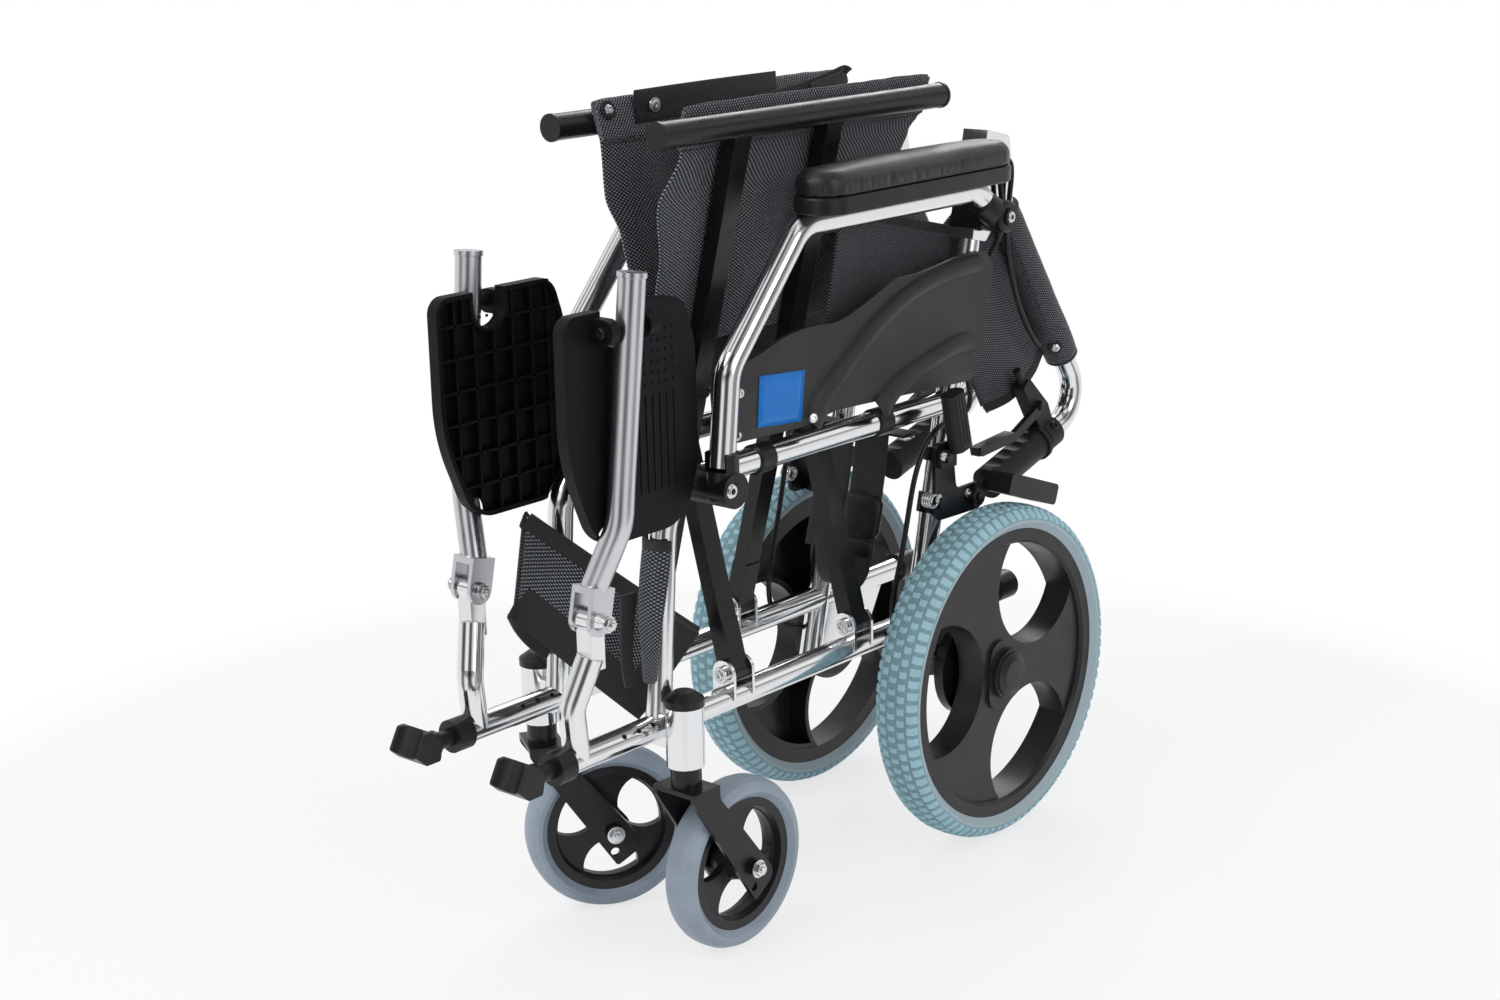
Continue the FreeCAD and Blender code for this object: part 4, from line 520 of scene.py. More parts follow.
# %% Smooth sidewall
def fade_sidewall(material, colour):
    """Turns the tyre paler near its rim, by distance from the wheel's axle."""
    band_end, band_start = 12.5 * MM, 10.5 * MM
    tree = material.node_tree
    shader = tree.nodes["Principled BSDF"]
    axle = hinge_at("rear_roll_l")
    low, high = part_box("rear_tyre_l")
    outer = (high.z - low.z) / 2
    flat = tree.nodes.new("ShaderNodeVectorMath")
    flat.operation = "MULTIPLY_ADD"
    flat.inputs[1].default_value = (0.0, 1.0, 1.0)
    flat.inputs[2].default_value = (0.0, -axle.y, -axle.z)
    tree.links.new(object_place(tree), flat.inputs[0])
    length = tree.nodes.new("ShaderNodeVectorMath")
    length.operation = "LENGTH"
    tree.links.new(flat.outputs["Vector"], length.inputs[0])
    near = ramp(tree, length.outputs["Value"], outer - band_end, outer - band_start, 1.0, 0.0)
    old = shader.inputs["Base Color"].links[0].from_socket
    tree.links.new(mix_colour(tree, near, old, colour), shader.inputs["Base Color"])


fade_sidewall(TEAL_TYRE, (0.40, 0.50, 0.55))
print("teal tyre nodes", len(TEAL_TYRE.node_tree.nodes))

# %% [markdown]
# ### Leather and grained plastic
# The arm pads are leather, and the side panels are plastic moulded with a leather grain. They share
# the pebbles and differ in cell, depth and gloss.

# %% Leather and grained plastic
def make_leather(name, colour, rough, cell_mm, depth_mm):
    """Pebbled surface with painted shade in its creases, and a slow unevenness under it."""
    material, tree, shader = new_material(name)
    place = object_place(tree)
    leather = place_group(tree, LEATHER_GRAIN, Place=place, Cell_mm=cell_mm)
    grain = place_group(tree, FINE_GRAIN, Place=place, Grain_mm=2.5, Patch_mm=45.0)
    edges = place_group(tree, SOFT_EDGES, Radius=0.001)
    # painted shade: the creases between the pebbles are darkened in the colour
    dark = shade(colour, 0.45)
    tree.links.new(mix_colour(tree, leather.outputs["Crease"], colour, dark), shader.inputs["Base Color"])
    tree.links.new(ramp(tree, grain.outputs["Patch"], 0.3, 0.7, rough - 0.06, rough + 0.08),
                   shader.inputs["Roughness"])
    normal = bump(tree, leather.outputs["Height"], depth_mm, edges.outputs["Normal"])
    tree.links.new(bump(tree, grain.outputs["Height"], 0.25, normal, 0.5), shader.inputs["Normal"])
    return material


LEATHER = make_leather("black leather", (0.013, 0.013, 0.015), 0.34, 1.3, 0.07)
PANEL = make_leather("grained panel plastic", (0.020, 0.018, 0.018), 0.42, 0.9, 0.06)
print("leather", LEATHER.name, "and", PANEL.name)

# %% [markdown]
# ### Cloth, webbing and tape
# The mesh's yarn colour is partly the cloth's own dark grey and partly painted sheen, and its pores
# are painted near black as shade; the shader adds a light sheen from its loose fibres. All cloth
# reads the coordinates laid on each piece, so that the weave runs along it.

# %% Cloth finishes
def cloth_place(tree):
    """Coordinates laid out along the cloth, in metres."""
    node = tree.nodes.new("ShaderNodeUVMap")
    node.uv_map = "Cloth"
    return node.outputs["UV"]


def make_mesh_cloth(name, yarn, pore_shade, pitch_mm, pore, stretch):
    """Spacer mesh: patchy yarn, partly painted sheen, with pores painted near black as shade."""
    material, tree, shader = new_material(name)
    cloth = cloth_place(tree)
    pores = place_group(tree, MESH_PORES, Cloth=cloth, Pitch_mm=pitch_mm, Stretch=stretch, Pore=pore)
    grain = place_group(tree, FINE_GRAIN, Place=object_place(tree), Grain_mm=1.0, Patch_mm=40.0)
    darker = shade(yarn, 0.8)
    lighter = shade(yarn, 1.2)
    tint = mix_colour(tree, grain.outputs["Patch"], darker, lighter)
    # painted shade: the pores take the near-black pore colour; the yarn colour carries painted sheen
    tree.links.new(mix_colour(tree, pores.outputs["Yarn"], pore_shade, tint), shader.inputs["Base Color"])
    shader.inputs["Roughness"].default_value = 0.62
    shader.inputs["Sheen Weight"].default_value = 0.25
    shader.inputs["Sheen Roughness"].default_value = 0.4
    tree.links.new(bump(tree, pores.outputs["Height"], 1.1), shader.inputs["Normal"])
    return material


# yarn colours: the cloth's own grey lifted by painted sheen; the near-black pore colour is painted shade
SEAT_MESH = make_mesh_cloth("seat air mesh", (0.400, 0.445, 0.530), (0.002, 0.002, 0.003), 4.5, 0.42, 0.72)
BACK_MESH = make_mesh_cloth("back air mesh", (0.290, 0.325, 0.390), (0.002, 0.002, 0.003), 4.2, 0.43, 0.70)


def make_webbing(name, colour, thread_mm):
    """Flat woven band with painted shade between its threads."""
    material, tree, shader = new_material(name)
    cloth = cloth_place(tree)
    weave = place_group(tree, WOVEN_BAND, Cloth=cloth, Thread_mm=thread_mm)
    # painted shade: the weave's valleys between threads are darkened in the colour
    dark = shade(colour, 0.5)
    tree.links.new(mix_colour(tree, weave.outputs["Height"], dark, colour), shader.inputs["Base Color"])
    tree.links.new(bump(tree, weave.outputs["Height"], 0.3), shader.inputs["Normal"])
    shader.inputs["Roughness"].default_value = 0.6
    shader.inputs["Sheen Weight"].default_value = 0.15
    return material


WEBBING = make_webbing("black webbing", (0.016, 0.016, 0.018), 1.2)
BINDING = make_webbing("black binding tape", (0.014, 0.014, 0.015), 0.8)
print("materials", len(bpy.data.materials))

# %% [markdown]
# ### Dressing the carried frame
# A node's name is its kind and its side, so one table of kinds serves both sides, and a kind that is
# missing stops the script at once.

# %% Finishes on the carried frame
FINISHES = {
    "side_frame": POLISHED, "frame_fittings": BLACK_PLASTIC, "drum_brake": BLACK_PAINT,
    "park_mount": BLACK_PAINT, "park_handle": RUBBER, "park_shoe": BLACK_PLASTIC,
    "caster_fork": BLACK_PAINT, "caster_hub": HUB_PLASTIC, "caster_tyre": PALE_TYRE,
    "rear_hub": HUB_PLASTIC, "rear_tyre": TEAL_TYRE, "arm_tube": POLISHED, "arm_pad": LEATHER,
    "side_panel": PANEL, "footrest_tube": SATIN, "footplate": PLATE_PLASTIC, "saddle": BLACK_PLASTIC,
    "back_tube": POLISHED, "grip": RUBBER, "brake_lever": BLACK_PLASTIC, "back_sleeve": BACK_MESH,
    "seat_half": SEAT_MESH, "back_low": BACK_MESH, "back_up_outer": BACK_MESH, "back_up_inner": BACK_MESH,
    "calf_outer": SEAT_MESH, "calf_inner": SEAT_MESH, "brake_cable": CABLE, "lap_belt": WEBBING,
    "cross_brace": BLACK_PAINT,
}
for name in sorted(NODES):
    dress(name, FINISHES[name.rsplit("_", 1)[0]])
print("finishes", len(FINISHES), "on", len(NODES), "nodes")

# %% [markdown]
# ## Shapes made here
# Three makers cover most of what follows. A lathe turns a profile about an axis, for screws, washers
# and rings. A sweep carries a section along a path, for tape, webbing, sleeves and springs. A sheet
# lays a grid on a surface with coordinates in metres, so that a weave keeps its real size.

# %% Pieces from lists
def mesh_piece(name, vertices, faces, material, uvs=None, smooth=True):
    """Mesh object from plain lists."""
    mesh = bpy.data.meshes.new(name)
    mesh.from_pydata([tuple(v) for v in vertices], [], faces)
    mesh.materials.append(material)
    if uvs is not None:
        layer = mesh.uv_layers.new(name="Cloth")
        for loop in mesh.loops:
            layer.data[loop.index].uv = uvs[loop.vertex_index]
    for polygon in mesh.polygons:
        polygon.use_smooth = smooth
    piece = bpy.data.objects.new(name, mesh)
    show(piece)
    return piece


def keep_edges(piece, degrees=32.0):
    """Smooth shading that leaves real edges sharp."""
    shape = bmesh.new()
    shape.from_mesh(piece.data)
    bmesh.ops.recalc_face_normals(shape, faces=shape.faces)
    for edge in shape.edges:
        if len(edge.link_faces) == 2 and edge.calc_face_angle(0.0) > math.radians(degrees):
            edge.smooth = False
    shape.to_mesh(piece.data)
    shape.free()


# %% Lathe
def side_axes(axis):
    """Two directions square to an axis."""
    axis = Vector(axis).normalized()
    spare = Vector((0, 0, 1)) if abs(axis.z) < 0.9 else Vector((0, 1, 0))
    first = spare.cross(axis).normalized()
    return axis, first, axis.cross(first)


def lathe(name, place, axis, profile, material, segments=24, body=None, smooth=True, turn=0.0):
    """Closed profile of (radius, height) in mm turned about an axis through place."""
    axis, first, second = side_axes(axis)
    vertices = []
    faces = []
    rings = []
    for radius, height in profile:
        centre = Vector(place) + axis * (height * MM)
        if radius < 1e-6:
            rings.append([len(vertices)])
            vertices.append(centre)
            continue
        ring = []
        for k in range(segments):
            a = turn + 2 * math.pi * k / segments
            ring.append(len(vertices))
            vertices.append(centre + (first * math.cos(a) + second * math.sin(a)) * (radius * MM))
        rings.append(ring)
    pairs = list(zip(rings, rings[1:]))
    if len(rings[0]) > 1 or len(rings[-1]) > 1:
        pairs.append((rings[-1], rings[0]))
    for a, b in pairs:
        for k in range(segments):
            m = (k + 1) % segments
            quad = [a[k % len(a)], a[m % len(a)], b[m % len(b)], b[k % len(b)]]
            quad = [q for i, q in enumerate(quad) if q != quad[i - 1]]
            if len(quad) > 2:
                faces.append(quad)
    piece = mesh_piece(name, vertices, faces, material, smooth=smooth)
    if smooth:
        keep_edges(piece)
    if body:
        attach(piece, body)
    return piece


# %% Sweep
def sweep(name, path, normals, sections, material, body=None, closed=False, smooth=True):
    """Section or sections of (across, out) in mm carried along a path in metres."""
    count = len(path)
    vertices = []
    uvs = []
    faces = []
    run = 0.0
    for i, point in enumerate(path):
        before = path[i - 1] if i or closed else path[0]
        after = path[(i + 1) % count] if i < count - 1 or closed else path[-1]
        ahead = (after - before).normalized()
        out = normals[i] if isinstance(normals, list) else normals
        out = (out - ahead * out.dot(ahead)).normalized()
        across = ahead.cross(out)
        section = sections[i] if isinstance(sections[0], list) else sections
        girth = 0.0
        for k, (a, b) in enumerate(section):
            if k:
                girth += math.hypot(a - section[k - 1][0], b - section[k - 1][1])
            vertices.append(point + across * (a * MM) + out * (b * MM))
            uvs.append((girth * MM, run))
        run += (path[(i + 1) % count] - point).length
    ring = len(section)
    for i in range(count if closed else count - 1):
        for k in range(ring):
            a = i * ring + k
            b = i * ring + (k + 1) % ring
            shift = ring if i < count - 1 else -i * ring
            faces.append([a, b, b + shift, a + shift])
    if not closed:
        faces.append(list(range(ring))[::-1])
        faces.append(list(range((count - 1) * ring, count * ring)))
    piece = mesh_piece(name, vertices, faces, material, uvs, smooth)
    keep_edges(piece, 50.0)
    if body:
        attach(piece, body)
    return piece


# %% Sections and curves
def flat_section(wide, thick, steps=12):
    """Tape's section, rounded at its edges."""
    out = []
    for k in range(steps):
        a = 2 * math.pi * (k + 0.5) / steps
        c, s = math.cos(a), math.sin(a)
        across = wide / 2 * math.copysign(abs(c) ** 0.35, c)
        out.append((across, thick / 2 * math.copysign(abs(s) ** 0.5, s)))
    return out


def round_section(radius, steps=12):
    """Circle of points."""
    turns = [2 * math.pi * k / steps for k in range(steps)]
    return [(radius * math.cos(a), radius * math.sin(a)) for a in turns]


def smooth_path(points, steps=8):
    """Curve through points, in metres."""
    points = [Vector(p) for p in points]
    ends = [2 * points[0] - points[1]] + points + [2 * points[-1] - points[-2]]
    out = []
    for a, b, c, d in zip(ends, ends[1:], ends[2:], ends[3:]):
        for k in range(steps):
            t = k / steps
            out.append(0.5 * (2 * b + (c - a) * t + (2 * a - 5 * b + 4 * c - d) * t * t
                              + (3 * b - a - 3 * c + d) * t ** 3))
    out.append(points[-1])
    return out


def heading(path, k):
    """Direction of a path at its point k, from the points beside it."""
    return path[min(k + 1, len(path) - 1)] - path[max(k - 1, 0)]


def read_curve(table, x):
    """Smooth value between the rows of an (x, value) table."""
    if x <= table[0][0]:
        return table[0][1]
    for (a, p), (b, q) in zip(table, table[1:]):
        if x <= b:
            t = (x - a) / (b - a)
            return p + (q - p) * t * t * (3 - 2 * t)
    return table[-1][1]


# %% Sheet
def length_of(points):
    """Length along a row of points."""
    return sum((b - a).length for a, b in zip(points, points[1:]))


def sheet_piece(name, place, across, along, thick_mm, material):
    """Cloth from place(u, v); returns the piece and its mean width and length."""
    rows = [[Vector(place(i / across, j / along)) for i in range(across + 1)] for j in range(along + 1)]
    wide = sum(length_of(row) for row in rows) / len(rows)
    columns = list(zip(*rows))
    long = sum(length_of(column) for column in columns) / len(columns)
    vertices = [point for row in rows for point in row]
    uvs = [(wide * i / across, long * j / along) for j in range(along + 1) for i in range(across + 1)]
    faces = []
    for j in range(along):
        for i in range(across):
            a = j * (across + 1) + i
            faces.append([a, a + 1, a + across + 2, a + across + 1])
    piece = mesh_piece(name, vertices, faces, material, uvs)
    thicken = piece.modifiers.new("thickness", "SOLIDIFY")
    thicken.thickness = thick_mm * MM
    thicken.offset = 0.0
    return piece, (wide, long)


# %% Stitches
def stitches(name, path, normals, material, body, length_mm=2.6, gap_mm=1.6, radius_mm=0.45):
    """Row of small stitches lying on a surface, as one piece."""
    vertices = []
    faces = []
    run = 0.0
    start = 0.0
    for i in range(len(path) - 1):
        step = (path[i + 1] - path[i]).length
        ahead = (path[i + 1] - path[i]).normalized()
        out = (normals[i] if isinstance(normals, list) else normals).normalized()
        side = ahead.cross(out)
        while start < run + step:
            a = path[i] + ahead * (start - run)
            b = a + ahead * (length_mm * MM)
            base = len(vertices)
            for end, grow in ((a, 0.35), (a.lerp(b, 0.5), 1.0), (b, 0.35)):
                for p, q in ((1, 0), (0, 1), (-1, 0), (0, -1)):
                    vertices.append(end + side * (p * radius_mm * MM) + out * (q * grow * radius_mm * MM))
            for ring in (0, 4):
                for k in range(4):
                    first = base + ring + k
                    second = base + ring + (k + 1) % 4
                    faces.append([first, second, second + 4, first + 4])
            faces.append([base + 3, base + 2, base + 1, base])
            faces.append([base + 8, base + 9, base + 10, base + 11])
            start += (length_mm + gap_mm) * MM
        run += step
    piece = mesh_piece(name, vertices, faces, material)
    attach(piece, body)
    return piece


# %% Screws and nuts
def screw(name, place, axis, radius, material, body, washer=0.0, washer_material=None, tall=0.45):
    """Domed socket screw, with a washer under it if a radius is given."""
    place = Vector(place)
    lift = 0.0
    if washer:
        rim = [(radius * 0.6, 0), (washer - 0.4, 0), (washer, 0.5), (washer - 0.3, 1.5), (radius * 0.6, 1.7)]
        lathe(name + "_washer", place, axis, rim, washer_material or material, 28, body)
        lift = 1.2
    dome = [(0, lift - 0.6), (radius, lift - 0.6), (radius, lift + tall * radius * 0.35)]
    dome += [(radius * 0.82, lift + tall * radius * 0.8), (radius * 0.5, lift + tall * radius)]
    dome += [(radius * 0.42, lift + tall * radius * 0.95), (radius * 0.36, lift + tall * radius * 0.3)]
    dome.append((0, lift + tall * radius * 0.25))
    return lathe(name, place, axis, dome, material, 28, body)


def hex_nut(name, place, axis, radius, tall, material, body):
    """Nut with chamfered corners and a bolt's end standing out of it."""
    nut = [(0, 0), (radius, 0), (radius, tall * 0.82), (radius * 0.86, tall), (0, tall)]
    lathe(name, place, axis, nut, material, 6, body, smooth=False)
    end = [(0, tall - 0.5), (radius * 0.5, tall - 0.5), (radius * 0.5, tall * 1.35)]
    end += [(radius * 0.38, tall * 1.5), (0, tall * 1.5)]
    return lathe(name + "_end", place, axis, end, material, 20, body)


print("makers ready")

# %% [markdown]
# ## The seat cloth
# Each half of the seat is spacer mesh screwed to the inner side of its rail. The screwed edge is a
# padded hem that stands a little above the rail, closed by two rows of stitches. Below the hem the
# cloth hangs towards the middle, belly out between the brace bars and slack at its front edge.
# It is laid as a sheet from edges set out along the rail, because a simulation would not know how
# years of folding have set the creases.

# %% Edges and frame of the seat
HEM_UP, HEM_DOWN = 20.0, 19.0
HEM_OUT = -1.6
SEAT_BODY = {"l": "brace_2", "r": "brace_1"}
SEAT_EDGES = {
    "l": {"front": [(-20, -159), (19, -157), (62, -180), (120, -168), (193, -160)],
          "rear": [(-20, 164), (17, 156), (30, 143), (52, 134), (112, 152), (193, 160)],
          "bars": (-105, 13)},
    "r": {"front": [(-20, -160), (17, -163), (60, -166), (92, -158), (193, -158)],
          "rear": [(-20, 156), (17, 154), (60, 146), (112, 154), (193, 158)],
          "bars": (-128, 36)},
}


def seat_frame(side):
    """Hinge, downward direction and outward direction of a hanging half, with its length in mm."""
    low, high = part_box("seat_half_" + side)
    hinge = hinge_at("seat_open_" + side)
    inner = min(abs(low.x), abs(high.x)) + 1.2 * MM
    tip = Vector((SIDES[side] * inner, 0.0, low.z))
    top = Vector((hinge.x, 0.0, hinge.z))
    down = (tip - top).normalized()
    out = Vector((-down.z, 0.0, down.x)) * SIDES[side]
    if out.x * SIDES[side] < 0:
        out = -out
    return top, down, out, (tip - top).length / MM


def seat_point(side, y, s, lift=0.0):
    """Place on a seat half, s mm down from its hinge."""
    top, down, out, _ = seat_frame(side)
    point = top + down * (s * MM) + out * (lift * MM)
    return Vector((point.x, y * MM, point.z))


for side in SIDES:
    print("seat half", side, "hangs", round(seat_frame(side)[3], 1), "mm")


# %% Seat surface
def seat_belly(side, y, s):
    """How far the cloth stands out between the brace bars, in mm."""
    bars = SEAT_EDGES[side]["bars"]
    near = min(abs(y - bar) for bar in bars)
    free = min(1.0, max(0.0, (near - 12.0) / 34.0))
    free = free * free * (3 - 2 * free)
    sag = math.sin(math.pi * min(1.0, max(0.0, (s - 16.0) / 172.0))) ** 0.8 if s > 16 else 0.0
    ripple = 1.3 * noise.noise(Vector((y * 0.022, s * 0.016, 3.7 * SIDES[side])))
    return sag * (6.0 * free + ripple)


def make_seat_half(side):
    """Hanging sheet from the hem's top edge to its free edge."""
    edges = SEAT_EDGES[side]
    length = seat_frame(side)[3]

    def place(u, v):
        s = -HEM_UP + 4 + v * (length - 1.0 + HEM_UP - 4)
        front = read_curve(edges["front"], s)
        rear = read_curve(edges["rear"], s)
        y = front + (rear - front) * u
        return seat_point(side, y, s, seat_belly(side, y, s) - 1.0)

    piece, cut = sheet_piece("seat_cloth_" + side, place, 90, 56, 2.2, SEAT_MESH)
    return piece, cut


# %% [markdown]
# ### The hem
# The hem is the cloth's top edge folded into a flat padded tube and stitched shut. It is a sweep of a
# section fat at the roll and thin at the seam, and a slow wave keeps it from looking turned.

# %% Seat hem
def make_seat_hem(side):
    """Padded hem: a flat tube of cloth along the rail, with its stitches."""
    edges = SEAT_EDGES[side]
    half = (HEM_UP + HEM_DOWN) / 2
    centre = (HEM_DOWN - HEM_UP) / 2
    front = read_curve(edges["front"], 0) - 1.5
    rear = read_curve(edges["rear"], 0) + 1.5
    out = seat_frame(side)[2]
    body = SEAT_BODY[side]
    path = []
    sections = []
    for k in range(61):
        t = k / 60
        y = front + (rear - front) * t
        wave = 0.8 * noise.noise(Vector((y * 0.05, 1.3, SIDES[side])))
        path.append(seat_point(side, y, centre + wave, HEM_OUT))
        shrink = 1.0 - 0.08 * (abs(2 * t - 1) ** 12)
        sections.append(hem_section(half * shrink, 2.5 + 0.25 * wave))
    hem = sweep("seat_hem_" + side, path, [out] * len(path), sections, SEAT_MESH, body)
    for row, s in (("a", HEM_DOWN - 4.5), ("b", HEM_DOWN - 1.5)):
        for label, face in (("outer", 1), ("inner", -1)):
            line = []
            for k in range(51):
                y = front + 3 + (rear - front - 6) * k / 50
                line.append(seat_point(side, y, s, HEM_OUT + face * 2.3))
            stitches(f"seat_stitch_{row}_{label}_{side}", line, out * face, BINDING, body)
    return hem


def hem_section(half, thick, steps=20):
    """Pocket's section: a full roll at its top and thin at the seam."""
    out = []
    for k in range(steps):
        a = 2 * math.pi * k / steps
        c, s = math.cos(a), math.sin(a)
        fat = thick * (1.15 + 0.35 * c)
        out.append((half * math.copysign(abs(c) ** 0.6, c), fat * math.copysign(abs(s) ** 0.7, s)))
    return out


# %% Seat cloth on its rails
for side in SIDES:
    cloth, cut = make_seat_half(side)
    hem = make_seat_hem(side)
    body = SEAT_BODY[side]
    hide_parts("seat_half_" + side)
    start = seat_point(side, 0.0, 6.0)
    end = seat_point(side, 0.0, 46.0)
    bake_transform(cloth, body, "seat_" + side, start, end)
    print("seat cloth", side, rounded(cut))

# %% [markdown]
# ## The arm pads
# A pad is a hard black base with leather stretched over foam. The cushion starts as a plain slab in
# the carried pad's box, is blown up a little by the cloth solver, as foam does under a tight cover,
# and then gets the small creases of a wrapped edge. One pad is simulated and mirrored, to save time.

# %% Outlines and slabs
PAD_BASE_TALL = 14.0


def stadium(low, high, inset, corner, steps=10):
    """Rounded outline in the (x, y) plane."""
    x0, x1 = low.x + inset * MM, high.x - inset * MM
    y0, y1 = low.y + inset * MM, high.y - inset * MM
    r = min((corner - inset) * MM, (x1 - x0) / 2 - 1e-5)
    out = []
    corners = ((x1 - r, y1 - r, 0), (x0 + r, y1 - r, 90), (x0 + r, y0 + r, 180), (x1 - r, y0 + r, 270))
    for cx, cy, first in corners:
        for k in range(steps + 1):
            a = math.radians(first + 90.0 * k / steps)
            out.append((cx + r * math.cos(a), cy + r * math.sin(a)))
    return out


def slab(name, rings, material, smooth=True):
    """Closed form through stacked outlines of equal length: [(z, outline), ...]."""
    vertices = [Vector((x, y, z)) for z, outline in rings for x, y in outline]
    n = len(rings[0][1])
    faces = [list(range(n))[::-1]]
    for j in range(len(rings) - 1):
        for k in range(n):
            m = (k + 1) % n
            faces.append([j * n + k, j * n + m, (j + 1) * n + m, (j + 1) * n + k])
    faces.append(list(range((len(rings) - 1) * n, len(rings) * n)))
    piece = mesh_piece(name, vertices, faces, material, smooth=smooth)
    keep_edges(piece)
    return piece


# %% [markdown]
# ### Swelling the cushion
# Even faces swell evenly, so the slab is remeshed first. Its lowest points are held, where the cover
# is tucked in, and pressure pushes the rest out. A cap on the movement keeps the pad's size.

# %% Swelling
def inflate(piece, steps=14, cap_mm=4.0):
    """Lets the cloth solver swell a closed mesh, keeping each point within a cap."""
    remesh = piece.modifiers.new("even", "REMESH")
    remesh.mode = "VOXEL"
    remesh.voxel_size = 4.0 * MM
    apply_all(piece)
    rest = [vertex.co.copy() for vertex in piece.data.vertices]
    floor_z = min(point.z for point in rest)
    held = piece.vertex_groups.new(name="held")
    held.add([i for i, point in enumerate(rest) if point.z < floor_z + 4.0 * MM], 1.0, "REPLACE")
    cloth = piece.modifiers.new("cover", "CLOTH")
    cloth.settings.use_pressure = True
    cloth.settings.uniform_pressure_force = 4.0
    cloth.settings.vertex_group_mass = "held"
    cloth.settings.effector_weights.gravity = 0.0
    cloth.settings.quality = 5
    scene = bpy.context.scene
    for number in range(1, steps + 1):
        scene.frame_set(number)
    apply_all(piece)
    scene.frame_set(1)
    for vertex, start in zip(piece.data.vertices, rest):
        move = vertex.co - start
        if move.length > cap_mm * MM:
            vertex.co = start + move.normalized() * (cap_mm * MM)


def apply_all(piece):
    """Turns the modifiers' result into the piece's own mesh."""
    graph = bpy.context.evaluated_depsgraph_get()
    mesh = bpy.data.meshes.new_from_object(piece.evaluated_get(graph))
    old = piece.data
    piece.modifiers.clear()
    piece.data = mesh
    bpy.data.meshes.remove(old)


def subdivide(piece, levels=1):
    """Splits every face and rounds the result."""
    extra = piece.modifiers.new("smooth", "SUBSURF")
    extra.levels = levels
    extra.render_levels = levels
    apply_all(piece)


# %% Creases of the cover
def crease_cover(piece, low, high):
    """Short upright creases round the cover's lower edge."""
    centre = (low + high) / 2
    tall = high.z - low.z
    straight = (high.y - low.y) / 2 - 22.0 * MM
    flat_top = 14.0 * MM
    for vertex in piece.data.vertices:
        p = vertex.co
        out = Vector((p.x - centre.x, 0, 0))
        if abs(p.y - centre.y) > straight:
            end = math.copysign(straight, p.y - centre.y)
            out = Vector((p.x - centre.x, p.y - centre.y - end, 0))
        if out.length < flat_top:
            continue
        h = (p.z - low.z) / tall
        round_about = math.atan2(out.y, out.x) * 0.02 + p.y
        pull = noise.noise(Vector((round_about * 190.0, h * 1.6, p.x * 20)))
        pull = max(0.0, pull - 0.12) * 2.2
        near_seam = max(0.0, 1.0 - abs(h - 0.30) * 2.6)
        vertex.co = p - out.normalized() * (pull * near_seam * 0.9 * MM)


# %% [markdown]
# ### Both pads
# Cushion and base are both stacked from rounded outlines. The cushion draws in towards its crown, and
# the base has a small step where the cover tucks in.

# %% Arm pads
CORNER = 25
BASE_CORNER = 26


def make_cushion(low, high, seam):
    """Swollen and creased cushion above the seam."""
    stack = ((seam, 2.2), (seam + 3.0 * MM, 1.4), (high.z - 11.0 * MM, 1.8), (high.z - 5.0 * MM, 5.0),
             (high.z - 2.0 * MM, 10.0))
    rings = [(z, stadium(low, high, inset, CORNER)) for z, inset in stack]
    cushion = slab("arm_cushion_l", rings, LEATHER)
    inflate(cushion)
    subdivide(cushion)
    crease_cover(cushion, Vector((low.x, low.y, seam)), high)
    for polygon in cushion.data.polygons:
        polygon.use_smooth = True
    cushion.data.materials.clear()
    cushion.data.materials.append(LEATHER)
    return cushion


def mirrored(piece, name):
    """Copy of a piece on the chair's other side."""
    mesh = piece.data.copy()
    for vertex in mesh.vertices:
        vertex.co.x = -vertex.co.x
    mesh.flip_normals()
    other = bpy.data.objects.new(name, mesh)
    show(other)
    return other


def make_pads():
    """A leather cushion on a hard base, on each side."""
    low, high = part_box("arm_pad_l")
    seam = low.z + PAD_BASE_TALL * MM
    cushion = make_cushion(low, high, seam)
    other = mirrored(cushion, "arm_cushion_r")
    for side, piece in (("l", cushion), ("r", other)):
        low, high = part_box("arm_pad_" + side)
        stack = ((low.z, 2.0), (low.z + 1.2 * MM, 0.6), (seam - 1.6 * MM, 0.2), (seam, 1.2),
                 (seam + 0.6 * MM, 3.0))
        rings = [(z, stadium(low, high, inset, BASE_CORNER)) for z, inset in stack]
        base = slab("arm_pad_base_" + side, rings, BLACK_PLASTIC)
        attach(base, "arm_" + side)
        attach(piece, "arm_" + side)
        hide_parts("arm_pad_" + side)


make_pads()

# %% [markdown]
# ## The back cloth
# The push handles drop when the chair is folded, and the back cloth drops with them. A sleeve of mesh
# holds it to each back tube. Between sleeve and post the loose cloth makes a pouch, with a second
# layer folded behind. All follow the tube's direction, taken from the hinge the cloth opens about.

# %% Places beside a back tube
TUBE_X = 59
SLEEVE_TOP, SLEEVE_LONG = 40, 189


def back_frame(side):
    """Pivot, direction down the dropped tube and direction across it, towards the front."""
    pivot = hinge_at("back_fold_" + side)
    down = axis_of("back_up_open_" + side)
    if down.z > 0:
        down = -down
    across = Vector((0.0, down.z, -down.y))
    return pivot, down, across


def back_point(side, along, aside, x):
    """Place beside a dropped back tube, all in mm; x is from the middle plane."""
    pivot, down, across = back_frame(side)
    point = pivot + down * (along * MM) + across * (aside * MM)
    return Vector((SIDES[side] * x * MM, point.y, point.z))


for side in SIDES:
    print("back tube", side, "drops along", rounded(back_frame(side)[1]))

# %% [markdown]
# ### Sleeves of the back tubes
# Each sleeve is snug at its top and slack where it ends, so it is a swept ring whose radius is read
# off a short table. Tape binds both ends, and stitches run down its seam to the snap.

